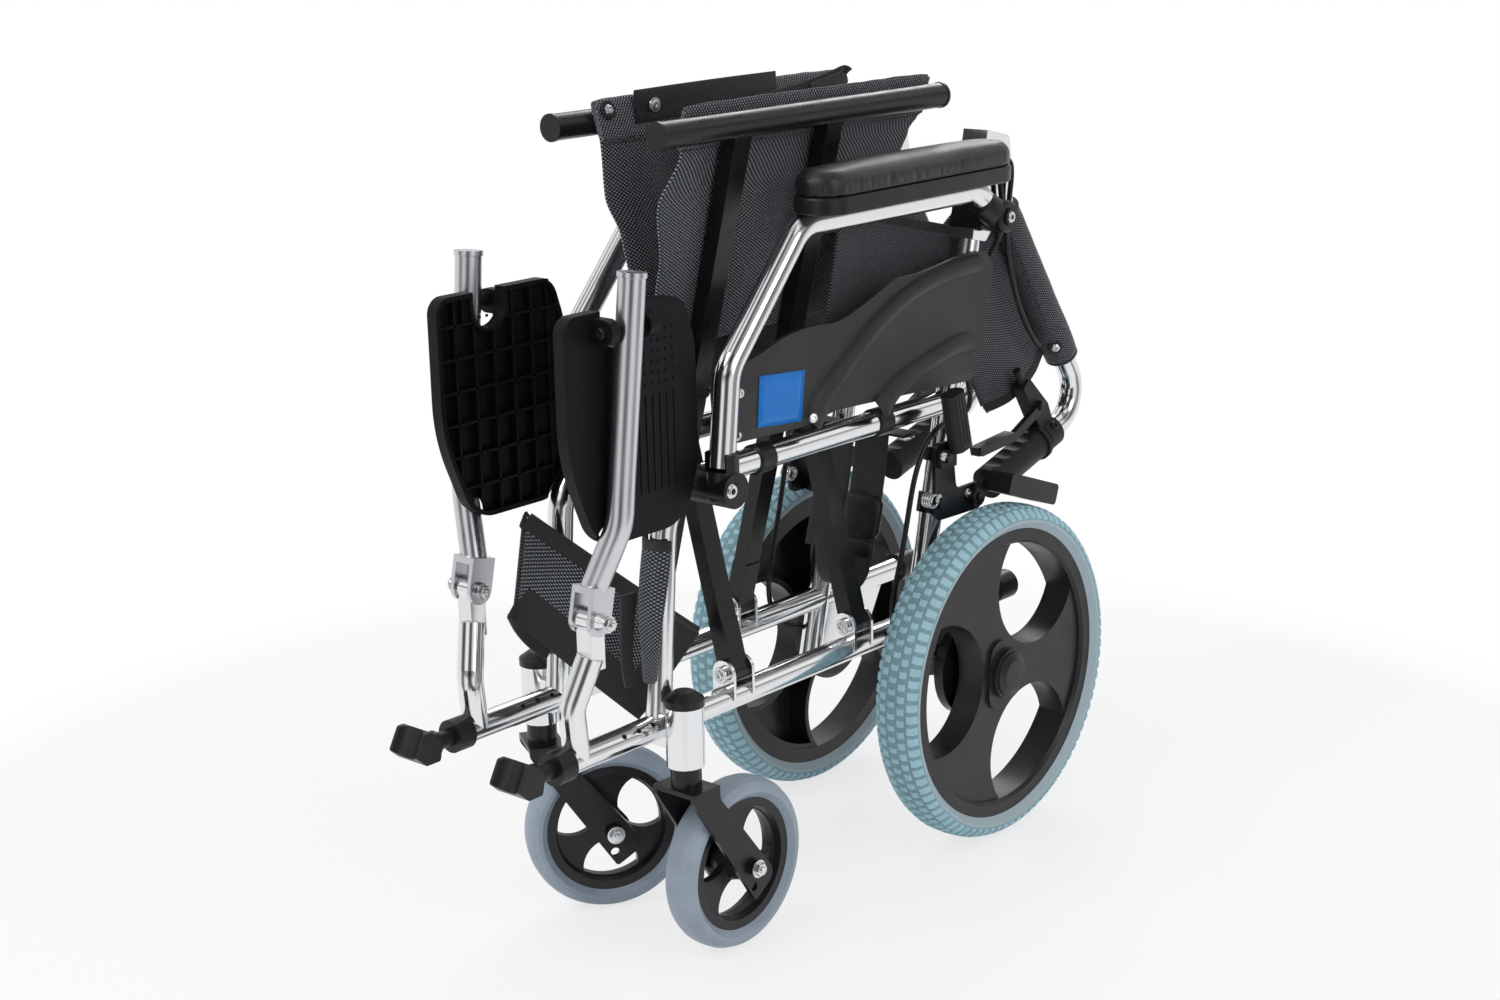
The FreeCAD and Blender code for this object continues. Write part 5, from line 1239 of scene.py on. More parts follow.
# %% Sleeves
SLEEVE_RADII = [(40, 13.6), (60, 14.4), (150, 15.6), (205, 17.0), (224, 16.6), (229, 13.4)]
TOP_TAPE = [(11.3, 0), (14.3, 0.4), (14.9, 2.5), (14.4, 4.6), (11.3, 5)]
LOW_TAPE = [(11.2, 0), (16.2, 0.2), (16.4, 2.2), (14.0, 4.6), (11.2, 5)]


def make_sleeve(side):
    """Mesh sleeve, a little wider at its lower end."""
    _, down, across = back_frame(side)
    body = "back_" + side
    outward = Vector((SIDES[side], 0, 0))
    path = []
    sections = []
    for k in range(48):
        s = SLEEVE_TOP + SLEEVE_LONG * k / 47
        r = read_curve(SLEEVE_RADII, s)
        wave = 0.35 * noise.noise(Vector((s * 0.045, 2.1, SIDES[side])))
        path.append(back_point(side, s, 1.2 * (s - SLEEVE_TOP) / SLEEVE_LONG, TUBE_X))
        sections.append(round_section(r + wave, 40))
    sleeve = sweep("back_sleeve_cloth_" + side, path, outward, sections, BACK_MESH, body)
    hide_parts("back_sleeve_" + side)
    lathe("sleeve_tape_top_" + side, back_point(side, 38.5, 0, TUBE_X), down, TOP_TAPE, BINDING, 40, body)
    lathe("sleeve_tape_low_" + side, back_point(side, 225.5, 1.1, TUBE_X), down, LOW_TAPE, BINDING, 40, body)
    face = (outward * 0.55 + across * 0.83).normalized()
    snap = back_point(side, 204, 1.0, TUBE_X) + face * (15.6 * MM)
    screw("sleeve_snap_" + side, snap, face, 4.6, ZINC, body, washer=7.6, washer_material=BLACK_PLASTIC)
    seam = []
    for k in range(61):
        lift = 14.6 + 1.6 * k / 60
        seam.append(back_point(side, 46 + 150 * k / 60, 1.0, TUBE_X) + face * (lift * MM))
    stitches("sleeve_stitch_" + side, seam, face, BINDING, body, 3.0, 1.6, 0.5)


# %% [markdown]
# ### Pouch and lining
# Between sleeve and post the cloth is slack: its outer layer bellies outwards and sags at its foot,
# and the lining lies flatter behind it. Both are one surface with other numbers.

# %% Pouch and lining
POUCH_TOP, POUCH_LONG, POUCH_DEEP = 16, 196, 107.0


def pouch(side, x_tube, x_front, belly, sag, short, start=0.0):
    """Surface between the tube, or a line that far in front of it, and the cloth's front fold."""
    def place(u, v):
        droop = sag * math.sin(math.pi * min(1.0, v * 1.05)) ** 0.9
        along = POUCH_TOP + (POUCH_LONG - short + droop) * u
        aside = (start + (POUCH_DEEP - start) * v) * (1.0 - 0.02 * u * (1 - u) * 4)
        round_out = math.sin(math.pi * v) * (0.35 + 0.65 * u)
        crease = 1.1 * noise.noise(Vector((u * 3.1, v * 6.0, belly)))
        x = x_tube + (x_front - x_tube) * v + belly * round_out + crease * math.sin(math.pi * v)
        return back_point(side, along, aside, x)
    return place


def edge_tape(name, place, fixed, axis, side, body, wide=11.0, thick=3.4):
    """Binding tape folded over one edge of a sheet."""
    path = []
    for k in range(49):
        t = 0.01 + 0.98 * k / 48
        path.append(Vector(place(t, fixed) if axis == "u" else place(fixed, t)))
    path = smooth_path(path, 2)
    outward = Vector((SIDES[side], 0, 0))
    return sweep(name, path, outward, flat_section(wide, thick), BINDING, body)


for side in SIDES:
    make_sleeve(side)
    outer_body, inner_body = "up_outer_" + side, "up_inner_" + side
    outer = pouch(side, 45.4, 38.6, 6.0, 13.0, 6.0)
    cloth, cut = sheet_piece("back_pouch_" + side, lambda u, v: outer(v, u), 40, 56, 2.2, BACK_MESH)
    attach(cloth, outer_body)
    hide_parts("back_up_outer_" + side)
    tape = edge_tape("back_pouch_tape_" + side, outer, 1.0, "v", side, outer_body)
    print("back pouch", side, rounded(cut))
    inner = pouch(side, 35.2, 36.4, -1.5, 9.0, 10.0, start=17.0)
    lining, cut = sheet_piece("back_lining_" + side, lambda u, v: inner(v, u), 36, 50, 1.8, BACK_MESH)
    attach(lining, inner_body)
    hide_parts("back_up_inner_" + side)
    print("back lining", side, rounded(cut))

# %% [markdown]
# ### Lower back cloth
# The lowest panel of the back folds forward from its post. A sheet follows the post's own slope, read
# from the hinge it opens about, a slow wave breaks it, and tape binds its top and foot.

# %% Lower back cloth
LOW_CLOTH_FOOT, LOW_CLOTH_TOP = 434.0, 562.0
LOW_CLOTH_DEEP = 172.5


def make_back_low(side):
    """Cloth folded forward from the post, slack between its hem and its fold."""
    joint = hinge_at("back_low_open_" + side)
    up = axis_of("back_low_open_" + side)
    up = up if up.z > 0 else -up
    ahead = Vector((0.0, -up.z, up.y))
    base_z, top_z = LOW_CLOTH_FOOT * MM, LOW_CLOTH_TOP * MM

    def place(u, v):
        z = base_z + (top_z - base_z) * (1 - v)
        foot = joint + up * ((z - joint.z) / up.z)
        reach = (1.5 + LOW_CLOTH_DEEP * u) * MM
        fade = math.sin(math.pi * min(1, u * 1.4))
        wave = 2.6 * noise.noise(Vector((u * 4.2, v * 2.6, 5.1 * SIDES[side]))) * fade
        point = foot + ahead * reach
        x = 44.4 - 1.0 * u + wave * 0.6 - 1.2 * math.sin(math.pi * u)
        return Vector((SIDES[side] * x * MM, point.y, point.z))

    cloth, cut = sheet_piece("back_low_cloth_" + side, place, 54, 36, 1.8, BACK_MESH)
    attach(cloth, "low_" + side)
    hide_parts("back_low_" + side)
    for label, v in (("top", 0.0), ("foot", 1.0)):
        path = [place(0.01 + 0.98 * k / 40, v) for k in range(41)]
        sweep(f"back_low_tape_{label}_{side}", path, Vector((SIDES[side], 0, 0)),
                           flat_section(9.0, 2.9), BINDING, "low_" + side)
    return cut


for side in SIDES:
    print("lower back cloth", side, rounded(make_back_low(side)))

# %% [markdown]
# ## The calf strap
# One half of the strap is still looped round each front upright. The far half hangs across between
# the frames, bound with wide tape along both edges, and ends in a plain tab. The near half is
# wrapped round its own upright and tapers to a point.

# %% Places on the uprights
def upright_axis(side):
    """Foot and direction of a front upright, from the hinge its strap opens about."""
    joint = hinge_at("calf_open_" + side)
    up = axis_of("calf_open_" + side)
    return joint, (up if up.z > 0 else -up)


def on_upright(side, z):
    """Place on an upright's axis at a height in mm."""
    joint, up = upright_axis(side)
    return joint + up * ((z * MM - joint.z) / up.z)


def offset_from(point, x, y, z):
    """Place that many mm from a point."""
    return Vector(point) + Vector((x, y, z)) * MM


# %% Sheets and tapes of the strap
def bent_sheet(corners, bow, seed):
    """Surface through four corners (start top, start foot, end top, end foot) that bows along X."""
    a, b, c, d = [Vector(p) for p in corners]

    def place(u, v):
        left = a.lerp(b, v)
        right = c.lerp(d, v)
        point = left.lerp(right, u)
        wave = 2.2 * noise.noise(Vector((u * 2.6, v * 2.2, seed)))
        arch = math.sin(math.pi * u)
        swell = arch * (bow + 2.0 * math.sin(math.pi * v))
        return point + Vector(((swell + wave * arch) * MM, 0, -3.0 * MM * arch))
    return place


def strap_tape(name, place, v, body, wide):
    """Wide tape along a surface, square to it all the way."""
    path = []
    normals = []
    for k in range(49):
        u = k / 48
        path.append(place(u, v))
        side = place(min(1, u + 0.01), v) - place(max(0, u - 0.01), v)
        drop = place(u, min(1, v + 0.02)) - place(u, max(0, v - 0.02))
        normals.append(side.cross(drop).normalized())
    return sweep(name, path, normals, flat_section(wide, 3.4), BINDING, body)


# %% [markdown]
# ### Far half of the strap
# The far half goes forward from its upright to a soft fold, then back and down across the gap. Each
# stretch is a sheet hung between four corners, and the tab is a thicker copy of the last stretch.

# %% Far half of the strap
def make_far_outer(fold_top, fold_foot):
    """From the far upright forward to the fold."""
    top, foot = on_upright("r", 352), on_upright("r", 250)
    start = [offset_from(top, 5, -13, 0), offset_from(foot, 5, -13, 0)]
    outer = bent_sheet([*start, fold_top, fold_foot], -3.0, 1.0)
    piece, cut = sheet_piece("calf_strap_outer_r", outer, 24, 36, 2.4, SEAT_MESH)
    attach(piece, "calf_outer_r")
    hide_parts("calf_outer_r")
    tapes = [strap_tape("calf_tape_outer_top_r", outer, 0.04, "calf_outer_r", 15.0),
             strap_tape("calf_tape_outer_foot_r", outer, 0.93, "calf_outer_r", 26.0)]
    return cut


def make_far_inner(fold_top, fold_foot):
    """From the fold back and down to the near side, with its tab."""
    end_top = offset_from(on_upright("l", 267), -22.0, 72.0, 0)
    end_foot = offset_from(on_upright("l", 212), -22.0, 2.0, 0)
    start_top = offset_from(fold_top, 3.0, 1.0, 0)
    start_foot = offset_from(fold_foot, 3.0, 1.0, 0)
    inner = bent_sheet([start_top, start_foot, end_top, end_foot], 5.0, 2.0)
    piece, cut = sheet_piece("calf_strap_inner_r", inner, 60, 36, 2.4, SEAT_MESH)
    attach(piece, "calf_inner_r")
    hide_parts("calf_inner_r")
    tapes = [strap_tape("calf_tape_inner_top_r", inner, 0.05, "calf_inner_r", 15.0),
             strap_tape("calf_tape_inner_foot_r", inner, 0.88, "calf_inner_r", 30.0)]

    def strap_end(u, v):
        return inner(0.80 + 0.205 * u, 0.02 + 0.96 * v)

    tab, _ = sheet_piece("calf_tab_r", strap_end, 14, 24, 4.2, BINDING)
    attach(tab, "calf_inner_r")
    tapes.append(tab)
    return cut


fold_top = offset_from(on_upright("r", 380), 9.0, -52.0, 0)
fold_foot = offset_from(on_upright("r", 300), 9.0, -62.0, 0)
print("far strap, outer", rounded(make_far_outer(fold_top, fold_foot)))
print("far strap, inner", rounded(make_far_inner(fold_top, fold_foot)))

# %% [markdown]
# ### Near half of the strap
# On the near side the strap is gathered round its upright. Its sheet turns about the tube, less and
# less downwards, which gives the taper. Its tail is doubled tape in front.

# %% Near half of the strap
def make_near_wrap():
    """Strap wrapped round the near upright, tapering downwards."""
    def wrap(u, v):
        z = 368.0 - 118.0 * v
        centre = on_upright("l", z)
        narrow = 1.0 - 0.72 * max(0.0, v - 0.35) ** 1.1 / 0.65
        turn = math.radians(-20.0 + (-150.0 * u) * narrow - 42.0 * v)
        r = 15.0 + 2.6 * math.sin(math.pi * min(1.0, v * 1.2)) + 0.5 * math.sin(9 * u + 3 * v)
        return centre + Vector((r * math.cos(turn), r * math.sin(turn), 0)) * MM

    piece, cut = sheet_piece("calf_strap_outer_l", wrap, 40, 44, 2.0, SEAT_MESH)
    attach(piece, "calf_outer_l")
    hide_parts("calf_outer_l")
    path = [wrap(0.01 + 0.98 * k / 40, 0.03) for k in range(41)]
    normals = [(p - on_upright("l", 364)).normalized() for p in path]
    top = sweep("calf_tape_top_l", path, normals, flat_section(10.0, 3.0), BINDING, "calf_outer_l")
    return cut


def make_near_tail():
    """Doubled end of the strap, in front of the near upright."""
    def tail(u, v):
        z = 322.0 - 78.0 * v
        centre = on_upright("l", z)
        x = -18.0 - 5.0 * math.sin(math.pi * v) - 1.5 * u + 3.0 * v
        y = -12.0 - 16.0 * u * (1 - 0.45 * v) + 2.0 * math.sin(5 * v)
        return centre + Vector((x, y, 0)) * MM

    piece, cut = sheet_piece("calf_strap_inner_l", tail, 12, 30, 3.2, BINDING)
    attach(piece, "calf_inner_l")
    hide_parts("calf_inner_l")
    return cut


print("near strap, wrap", rounded(make_near_wrap()))
print("near strap, tail", rounded(make_near_tail()))

# %% [markdown]
# ## Lap belts
# Each belt is a strip of flat webbing on a black plate bolted under the side tube. The left one is
# longer, and turns up at its end. A stiff belt keeps its bends, so its run is a short list of them,
# and a sweep carries the webbing along a smooth curve through them.

# %% Lap belts
BELT_WIDE = 38.0
BELT_RUNS = {
    "l": [(0, 0), (-7, -42), (-17, -80), (-25, -106), (-33, -130), (-49, -140), (-61, -124), (-63, -92)],
    "r": [(0, 0), (-4, -40), (-13, -74), (-21, -96), (-27, -116)],
}


def belt_start(side):
    """Middle of a belt's upper end, inside its carried solid."""
    low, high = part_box("lap_belt_" + side)
    x = SIDES[side] * (min(abs(low.x), abs(high.x)) + BELT_WIDE / 2 * MM)
    return Vector((x, high.y - 12.0 * MM, high.z - 9.0 * MM))


def make_belt(side):
    """Webbing on its plate; returns the webbing's length."""
    start = belt_start(side)
    body = "frame_" + side
    path = smooth_path([start + Vector((0, a, b)) * MM for a, b in BELT_RUNS[side]], 8)
    normals = []
    for k in range(len(path)):
        run = heading(path, k)
        normals.append(Vector((0, -run.z, run.y)).normalized())
    section = flat_section(BELT_WIDE, 1.9, 16)
    belt = sweep("belt_webbing_" + side, path, normals, section, WEBBING, body)
    length = length_of(path)
    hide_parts("lap_belt_" + side)
    tab = Vector((SIDES[side] * 38.0 * MM, start.y, start.z - 1.5 * MM))
    ends = [tab + Vector((-SIDES[side] * 18 * MM, 0, 0)), tab + Vector((SIDES[side] * 26 * MM, 0, 0))]
    sweep("belt_plate_" + side, ends, Vector((0, 0, 1)), flat_section(24.0, 3.0), BLACK_PAINT, body)
    bolt = tab + Vector((SIDES[side] * 21 * MM, 0, -1.4 * MM))
    screw("belt_bolt_" + side, bolt, Vector((0, 0, -1)), 6.0, ZINC, body, washer=8.0)
    return length


for side in SIDES:
    print("belt", side, round(make_belt(side), 3), "m")

# %% [markdown]
# ## Finding the surface
# Fasteners, labels and treads sit on a carried surface. A straight line is cast until it meets the
# node, and the piece is placed where it meets, so it stays seated when the chair's sizes change.

# %% Lines onto the frame
TREES = {}


def land(nodes, start, way):
    """Nearest point where a line in mm meets the named nodes: node, point, face direction."""
    best = None
    origin = Vector(start) * MM
    way = Vector(way).normalized()
    for name in nodes:
        if name not in TREES:
            TREES[name] = BVHTree.FromObject(NODES[name], bpy.context.evaluated_depsgraph_get())
        hit, normal, _, distance = TREES[name].ray_cast(origin, way)
        if hit is not None and (best is None or distance < best[3]):
            best = (name, hit, normal if normal.dot(way) < 0 else -normal, distance)
    return best


# %% [markdown]
# ## Rear tyres
# The tread is five rows of low blocks that interlock round the tyre, with thin slits left between the
# shoulder lugs. Each block is a little slab laid on the tyre's own curve, in the tyre's rubber painted
# lighter as painted light. The sidewall stays smooth.

# %% Tyre tread
TREAD_COUNT = 88
TREAD_LIFT = 1.15
SHOULDER_LEAN = 64.0
# each row: place across the tyre, width, share of the pitch and shift along it
TREAD_ROWS = [(0.0, 0.30, 0.50, 0.0), (0.36, 0.26, 0.62, 0.5), (-0.36, 0.26, 0.62, 0.5),
              (0.74, 0.40, 0.74, 0.12), (-0.74, 0.40, 0.74, 0.12)]


def tyre_shape(side):
    """Middle of a rear tyre, its outer radius and half its width."""
    low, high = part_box("rear_tyre_" + side)
    centre = hinge_at("rear_roll_" + side)
    return Vector(((low.x + high.x) / 2, centre.y, centre.z)), (high.z - low.z) / 2, (high.x - low.x) / 2


def tread_block(side, at, wide, long, bend):
    """Corners of one block: its foot on the tyre and its slightly smaller top."""
    centre, outer, half = tyre_shape(side)
    out = []
    for level, shrink in ((-0.4, 1.0), (TREAD_LIFT, 0.80)):
        for a, b in ((-1, -1), (0, -1 + bend), (1, -1), (1, 1), (0, 1 + bend), (-1, 1)):
            across = at + a * wide * shrink / 2
            angle = b * long * shrink / 2
            spot = land(["rear_tyre_" + side], *tread_line(centre, outer, half, across, angle))
            out.append(spot[1] + spot[2] * (level * MM))
    return out


def tread_line(centre, outer, half, across, angle):
    """Line in mm that falls square on the tyre at a share of its width."""
    lean = across * math.radians(SHOULDER_LEAN)
    spoke = Vector((0, math.cos(angle), math.sin(angle)))
    way = spoke * math.cos(lean) + Vector((math.sin(lean), 0, 0))
    root = centre + spoke * (outer - half * 1.05)
    return (root + way * 0.06) / MM, -way


def make_tread(side):
    """All blocks of a tyre as one piece; returns how many there are."""
    centre = tyre_shape(side)[0]
    step = 2 * math.pi / TREAD_COUNT
    vertices = []
    faces = []
    for row, (at, wide, share, shift) in enumerate(TREAD_ROWS):
        bend = 0.30 if row == 0 else 0.16 * (1 if at > 0 else -1)
        first = tread_block(side, at, wide, step * share, bend)
        for k in range(TREAD_COUNT):
            turn = Matrix.Rotation(step * (k + shift), 3, "X")
            base = len(vertices)
            vertices += [centre + turn @ (corner - centre) for corner in first]
            for m in range(6):
                n = (m + 1) % 6
                faces.append([base + m, base + n, base + 6 + n, base + 6 + m])
            faces.append([base + 5, base + 4, base + 3, base + 2, base + 1, base])
            faces.append([base + 6, base + 7, base + 8, base + 9, base + 10, base + 11])
    # the blocks' lighter teal is painted light on the same rubber as the tyre
    tread = mesh_piece("tyre_tread_" + side, vertices, faces, LIT_TREAD_TEAL, smooth=False)
    keep_edges(tread)
    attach(tread, "wheel_" + side)
    return len(vertices) // 12


for side in SIDES:
    print("tread blocks", side, make_tread(side))

# %% [markdown]
# ## Footplates
# The plate is a moulding: a thin skin with a grid of ribs on its back and, on its face, ridges and
# dots for grip. The ribs end at the rim, which is found by looking for the skin behind each point.

# %% Levels and pockets of a footplate
RIB_PITCH, CROSS_PITCH, RIB_WIDE = 21.0, 27.0, 2.0
DEEP_RIB, SHALLOW_RIB = 6.0, 3.0
RIB_STEP, RIB_OVER = 1.5, 1.2
RAIL_GAP, RAIL_REACH = 2.5, 24.0


def plate_levels(side):
    """Skin and outer face of a plate, in mm from the middle plane."""
    low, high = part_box("footplate_" + side)
    y, z = (low.y * 0.35 + high.y * 0.65) / MM, (low.z * 0.6 + high.z * 0.4) / MM
    inner = land(["footplate_" + side], (0.0, y, z), (SIDES[side], 0, 0))[1].x / MM
    outer = land(["footplate_" + side], (SIDES[side] * 200.0, y, z), (-SIDES[side], 0, 0))[1].x / MM
    return abs(inner), abs(outer)


def pocket_runs(side, points, skin):
    """Stretches of a line of points that have the plate's skin right behind them."""
    runs = []
    run = []
    for y, z in points:
        hit = land(["footplate_" + side], (0.0, y, z), (SIDES[side], 0, 0))
        inside = hit is not None and abs(abs(hit[1].x) / MM - skin) < 0.4
        if inside:
            run.append((y, z))
        elif run:
            runs.append(run)
            run = []
    if run:
        runs.append(run)
    return [r for r in runs if len(r) > 5]


# %% Ribs
def add_box(vertices, faces, low, high):
    """Box between two corners in mm, added to the lists of a piece."""
    base = len(vertices)
    for x in (low[0], high[0]):
        for y, z in ((low[1], low[2]), (high[1], low[2]), (high[1], high[2]), (low[1], high[2])):
            vertices.append(Vector((x, y, z)) * MM)
    faces.append([base, base + 3, base + 2, base + 1])
    faces.append([base + 4, base + 5, base + 6, base + 7])
    for k in range(4):
        m = (k + 1) % 4
        faces.append([base + k, base + m, base + 4 + m, base + 4 + k])


def make_plate_ribs(side):
    """Grid of ribs on the plate's back; returns how many stretches it has."""
    low, high = box_mm("footplate_" + side)
    skin = plate_levels(side)[0]
    # the open chair's seat rail comes down beside the plate's rear edge
    rail_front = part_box("cross_brace_2")[0].y / MM - RAIL_GAP
    rail_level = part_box("side_panel_" + side)[0].z / MM
    vertices = []
    faces = []
    y = low.y + RIB_PITCH
    while y < high.y:
        points = [(y, low.z + RIB_STEP * k) for k in range(int((high.z - low.z) / RIB_STEP))]
        depth = SHALLOW_RIB if y > rail_front else DEEP_RIB
        xs = sorted((SIDES[side] * (skin - depth), SIDES[side] * (skin + 0.4)))
        for run in pocket_runs(side, points, skin):
            add_box(vertices, faces, (xs[0], y - RIB_WIDE / 2, run[0][1] - RIB_OVER),
                    (xs[1], y + RIB_WIDE / 2, run[-1][1] + RIB_OVER))
        y += RIB_PITCH
    xs = sorted((SIDES[side] * (skin - DEEP_RIB), SIDES[side] * (skin + 0.4)))
    z = low.z + CROSS_PITCH
    while z < high.z:
        points = [(low.y + RIB_STEP * k, z) for k in range(int((high.y - low.y) / RIB_STEP))]
        for run in pocket_runs(side, points, skin):
            end = run[-1][0] + RIB_OVER
            if abs(z - rail_level) < RAIL_REACH:
                end = min(end, rail_front)
            add_box(vertices, faces, (xs[0], run[0][0] - RIB_OVER, z - RIB_WIDE / 2),
                    (xs[1], end, z + RIB_WIDE / 2))
        z += CROSS_PITCH
    ribs = mesh_piece("plate_ribs_" + side, vertices, faces, PLATE_PLASTIC, smooth=False)
    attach(ribs, "plate_" + side)
    return len(ribs.data.polygons) // 6


# %% Ridges and dots of the plate's face
def make_plate_grips(side):
    """Upright ridges low on the plate's face with dots above; returns how many."""
    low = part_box("footplate_" + side)[0] / MM
    face_x = SIDES[side] * plate_levels(side)[1]
    xs = sorted((face_x - SIDES[side] * 0.3, face_x + SIDES[side] * 0.7))
    vertices = []
    faces = []
    for k in range(9):
        y = low.y + 56 + 8.0 * k
        add_box(vertices, faces, (xs[0], y - 0.9, low.z + 34), (xs[1], y + 0.9, low.z + 112))
        for m in range(6):
            z = low.z + 121 + 8.5 * m
            add_box(vertices, faces, (xs[0], y - 1.1, z - 1.1), (xs[1], y + 1.1, z + 1.1))
    grips = mesh_piece("plate_grips_" + side, vertices, faces, PLATE_PLASTIC, smooth=False)
    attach(grips, "plate_" + side)
    return len(grips.data.polygons) // 6


for side in SIDES:
    print("footplate", side, make_plate_ribs(side), "ribs", make_plate_grips(side), "grips")

# %% [markdown]
# ## Fasteners
# Each pivot ends in a bright screw or a nut on a washer, and each plastic part is held by small
# screws. They share a few makers and differ in size. Most are found by a line from beside the chair,
# and a pin with two ends is found from both.

# %% Fastener makers
def bright_screw(radius, washer=0.0, material=None):
    """Maker of domed screws of one size."""
    def make(name, place, axis, body):
        return screw(name, place, axis, radius, material or ZINC, body, washer=washer)
    return make


def bright_nut(radius, tall):
    """Maker of nuts on a flat washer."""
    def make(name, place, axis, body):
        rim = radius * 1.28
        flat = [(radius * 0.5, -0.3), (rim, -0.3), (rim, 0.9), (radius * 0.5, 1.0)]
        lathe(name + "_washer", place, axis, flat, ZINC, 28, body)
        return hex_nut(name, place + axis * (0.8 * MM), axis, radius, tall, ZINC, body)
    return make


def dimple(radius):
    """Maker of small holes with a rim, each a flat disc of painted shade."""
    def make(name, place, axis, body):
        ring = [(radius * 0.7, 0.1), (radius, -0.3), (radius * 1.2, -0.3)]
        ring += [(radius * 1.15, 0.25), (radius * 0.9, 0.3)]
        lathe(name + "_rim", place, axis, ring, BLACK_PLASTIC, 20, body)
        # painted shade: a flat near-black disc stands in for the hole's shaded inside
        hole = [(0, -0.2), (radius * 0.9, -0.2), (radius * 0.9, 0.12), (0, 0.12)]
        return lathe(name, place, axis, hole, HOLE_SHADE_BLACK, 20, body)
    return make


# %% Fitting at a landing place
OUTSIDE = 220.0
REACH = 60.0
MISSED = []


def fit(name, side, nodes, start, way, make):
    """Runs a maker where a line in mm lands on a side's nodes, on the body of the node it meets."""
    spot = land([node + "_" + side for node in nodes], start, way)
    if spot is None:
        MISSED.append(f"{name}_{side}")
        return
    make(f"{name}_{side}", spot[1], spot[2], body_of(NODES[spot[0]])[0])


def from_outside(side, y, z):
    """A line that comes in from beside the chair: its start in mm and its direction."""
    return (OUTSIDE * SIDES[side], y, z), (-SIDES[side], 0, 0)


# %% [markdown]
# ### Side panel, caster and footrest
# The panel's screws are placed by shares of its length and height. The caster's axle has a nut on
# each end. The footrest hangs on a bolt through its clevis, and the plate turns on two black screws.

# %% Panel, caster and footrest fasteners
PANEL_SCREWS = {"top": (0.086, 0.453), "low": (0.077, 0.18), "tab": (0.313, 0.17)}
CASTER_REACH = 0.09


def fasten_panel(side):
    """Screws of the side panel and of the clamp under the arm."""
    low, high = box_mm("side_panel_" + side)
    long, tall = high.y - low.y, high.z - low.z
    for label, (a, b) in PANEL_SCREWS.items():
        line = from_outside(side, low.y + a * long, low.z + b * tall)
        fit("panel_screw_" + label, side, ["side_panel"], *line, bright_screw(4.2))
    low, high = box_mm("arm_tube_" + side)
    line = from_outside(side, low.y + 4.4, low.z - 15.5)
    fit("arm_clamp_screw", side, ["frame_fittings"], *line, bright_screw(6.2))


def fasten_caster(side):
    """A nut on each end of the caster's axle."""
    roll = hinge_at("caster_roll_" + side)
    axle = axis_of("caster_roll_" + side)
    for label, way in (("a", axle), ("b", -axle)):
        start = (roll + way * CASTER_REACH) / MM
        fit("caster_nut_" + label, side, ["caster_fork"], start, -way, bright_nut(6.2, 4.2))


def fasten_footrest(side):
    """Bolt and nut of the clevis, and the screws that the footplate flips on."""
    swing = hinge_at("footrest_swing_" + side) / MM
    clevis = ["footrest_tube", "side_frame", "frame_fittings"]
    for label, way, make in (("a", 1, bright_nut(5.4, 3.6)), ("b", -1, bright_screw(6.0))):
        start = (swing.x + way * REACH, swing.y, swing.z)
        fit("clevis_bolt_" + label, side, clevis, start, (-way, 0, 0), make)
    flip = hinge_at("footplate_flip_" + side) / MM
    for label, way in (("a", 1), ("b", -1)):
        start = (flip.x, flip.y + way * REACH, flip.z)
        black = bright_screw(4.4, material=BLACK_PAINT)
        fit("flap_screw_" + label, side, ["footplate"], start, (0, -way, 0), black)


# %% [markdown]
# ### Brace, brakes and back tube
# The brace turns on two bolts in the lugs of each side frame, and the parking brake on domed pins. A
# black plug closes each dropped back tube, and three small holes stand in a row on the side frame.

# %% Brace, brake and back tube fasteners
CLEVIS_Y = {"l": (-128.0, 36.0), "r": (-105.0, 13.0)}
BRAKE_PINS = (("pivot", 127.5, 372.0, 4.6), ("lower", 125.8, 331.3, 4.8), ("shoe", 170.6, 327.9, 4.2))
PLUG_REACH = 0.12


def fasten_brace(side):
    """Screws of the brace's lower pivots, on the lugs' front faces."""
    fold = hinge_at("fold") / MM
    for label, y in zip(("front", "rear"), CLEVIS_Y[side]):
        start = (SIDES[side] * abs(fold.x), y - 30.0, fold.z)
        fit("brace_bolt_" + label, side, ["side_frame"], start, (0, 1, 0), bright_screw(4.8, washer=7.4))


def fasten_brakes(side):
    """Pins of the parking brake, and the screws of the lever's hood and of the channel."""
    links = ["park_mount", "park_shoe", "park_handle"]
    for label, y, z, radius in BRAKE_PINS:
        fit("park_rivet_" + label, side, links, *from_outside(side, y, z), bright_screw(radius))
    black = bright_screw(4.6, material=BLACK_PAINT)
    fit("hood_screw", side, ["grip", "brake_lever"], *from_outside(side, 338.3, 356.7), black)
    channel = ["side_frame", "frame_fittings", "back_tube"]
    fit("channel_screw", side, channel, *from_outside(side, 219.0, 628.0), bright_screw(3.6))


def add_holes_and_plug(side):
    """Three holes in the side frame, each with a disc of painted shade, and the plug of the back tube."""
    for n in range(3):
        start = (SIDES[side] * 59.0 + 40.0, -272.0 + 17.0 * n, 216.0)
        fit(f"tube_hole_{n}", side, ["side_frame"], start, (-1, 0, 0), dimple(2.0))
    pivot, down, _ = back_frame(side)

    def plug(name, place, axis, body):
        profile = [(0, -0.5), (10.2, -0.5), (10.2, 0.6), (8.8, 1.6), (0, 2.0)]
        return lathe(name, place, -down, profile, BLACK_PLASTIC, 28, body)

    fit("back_plug", side, ["back_tube"], (pivot - down * PLUG_REACH) / MM, down, plug)


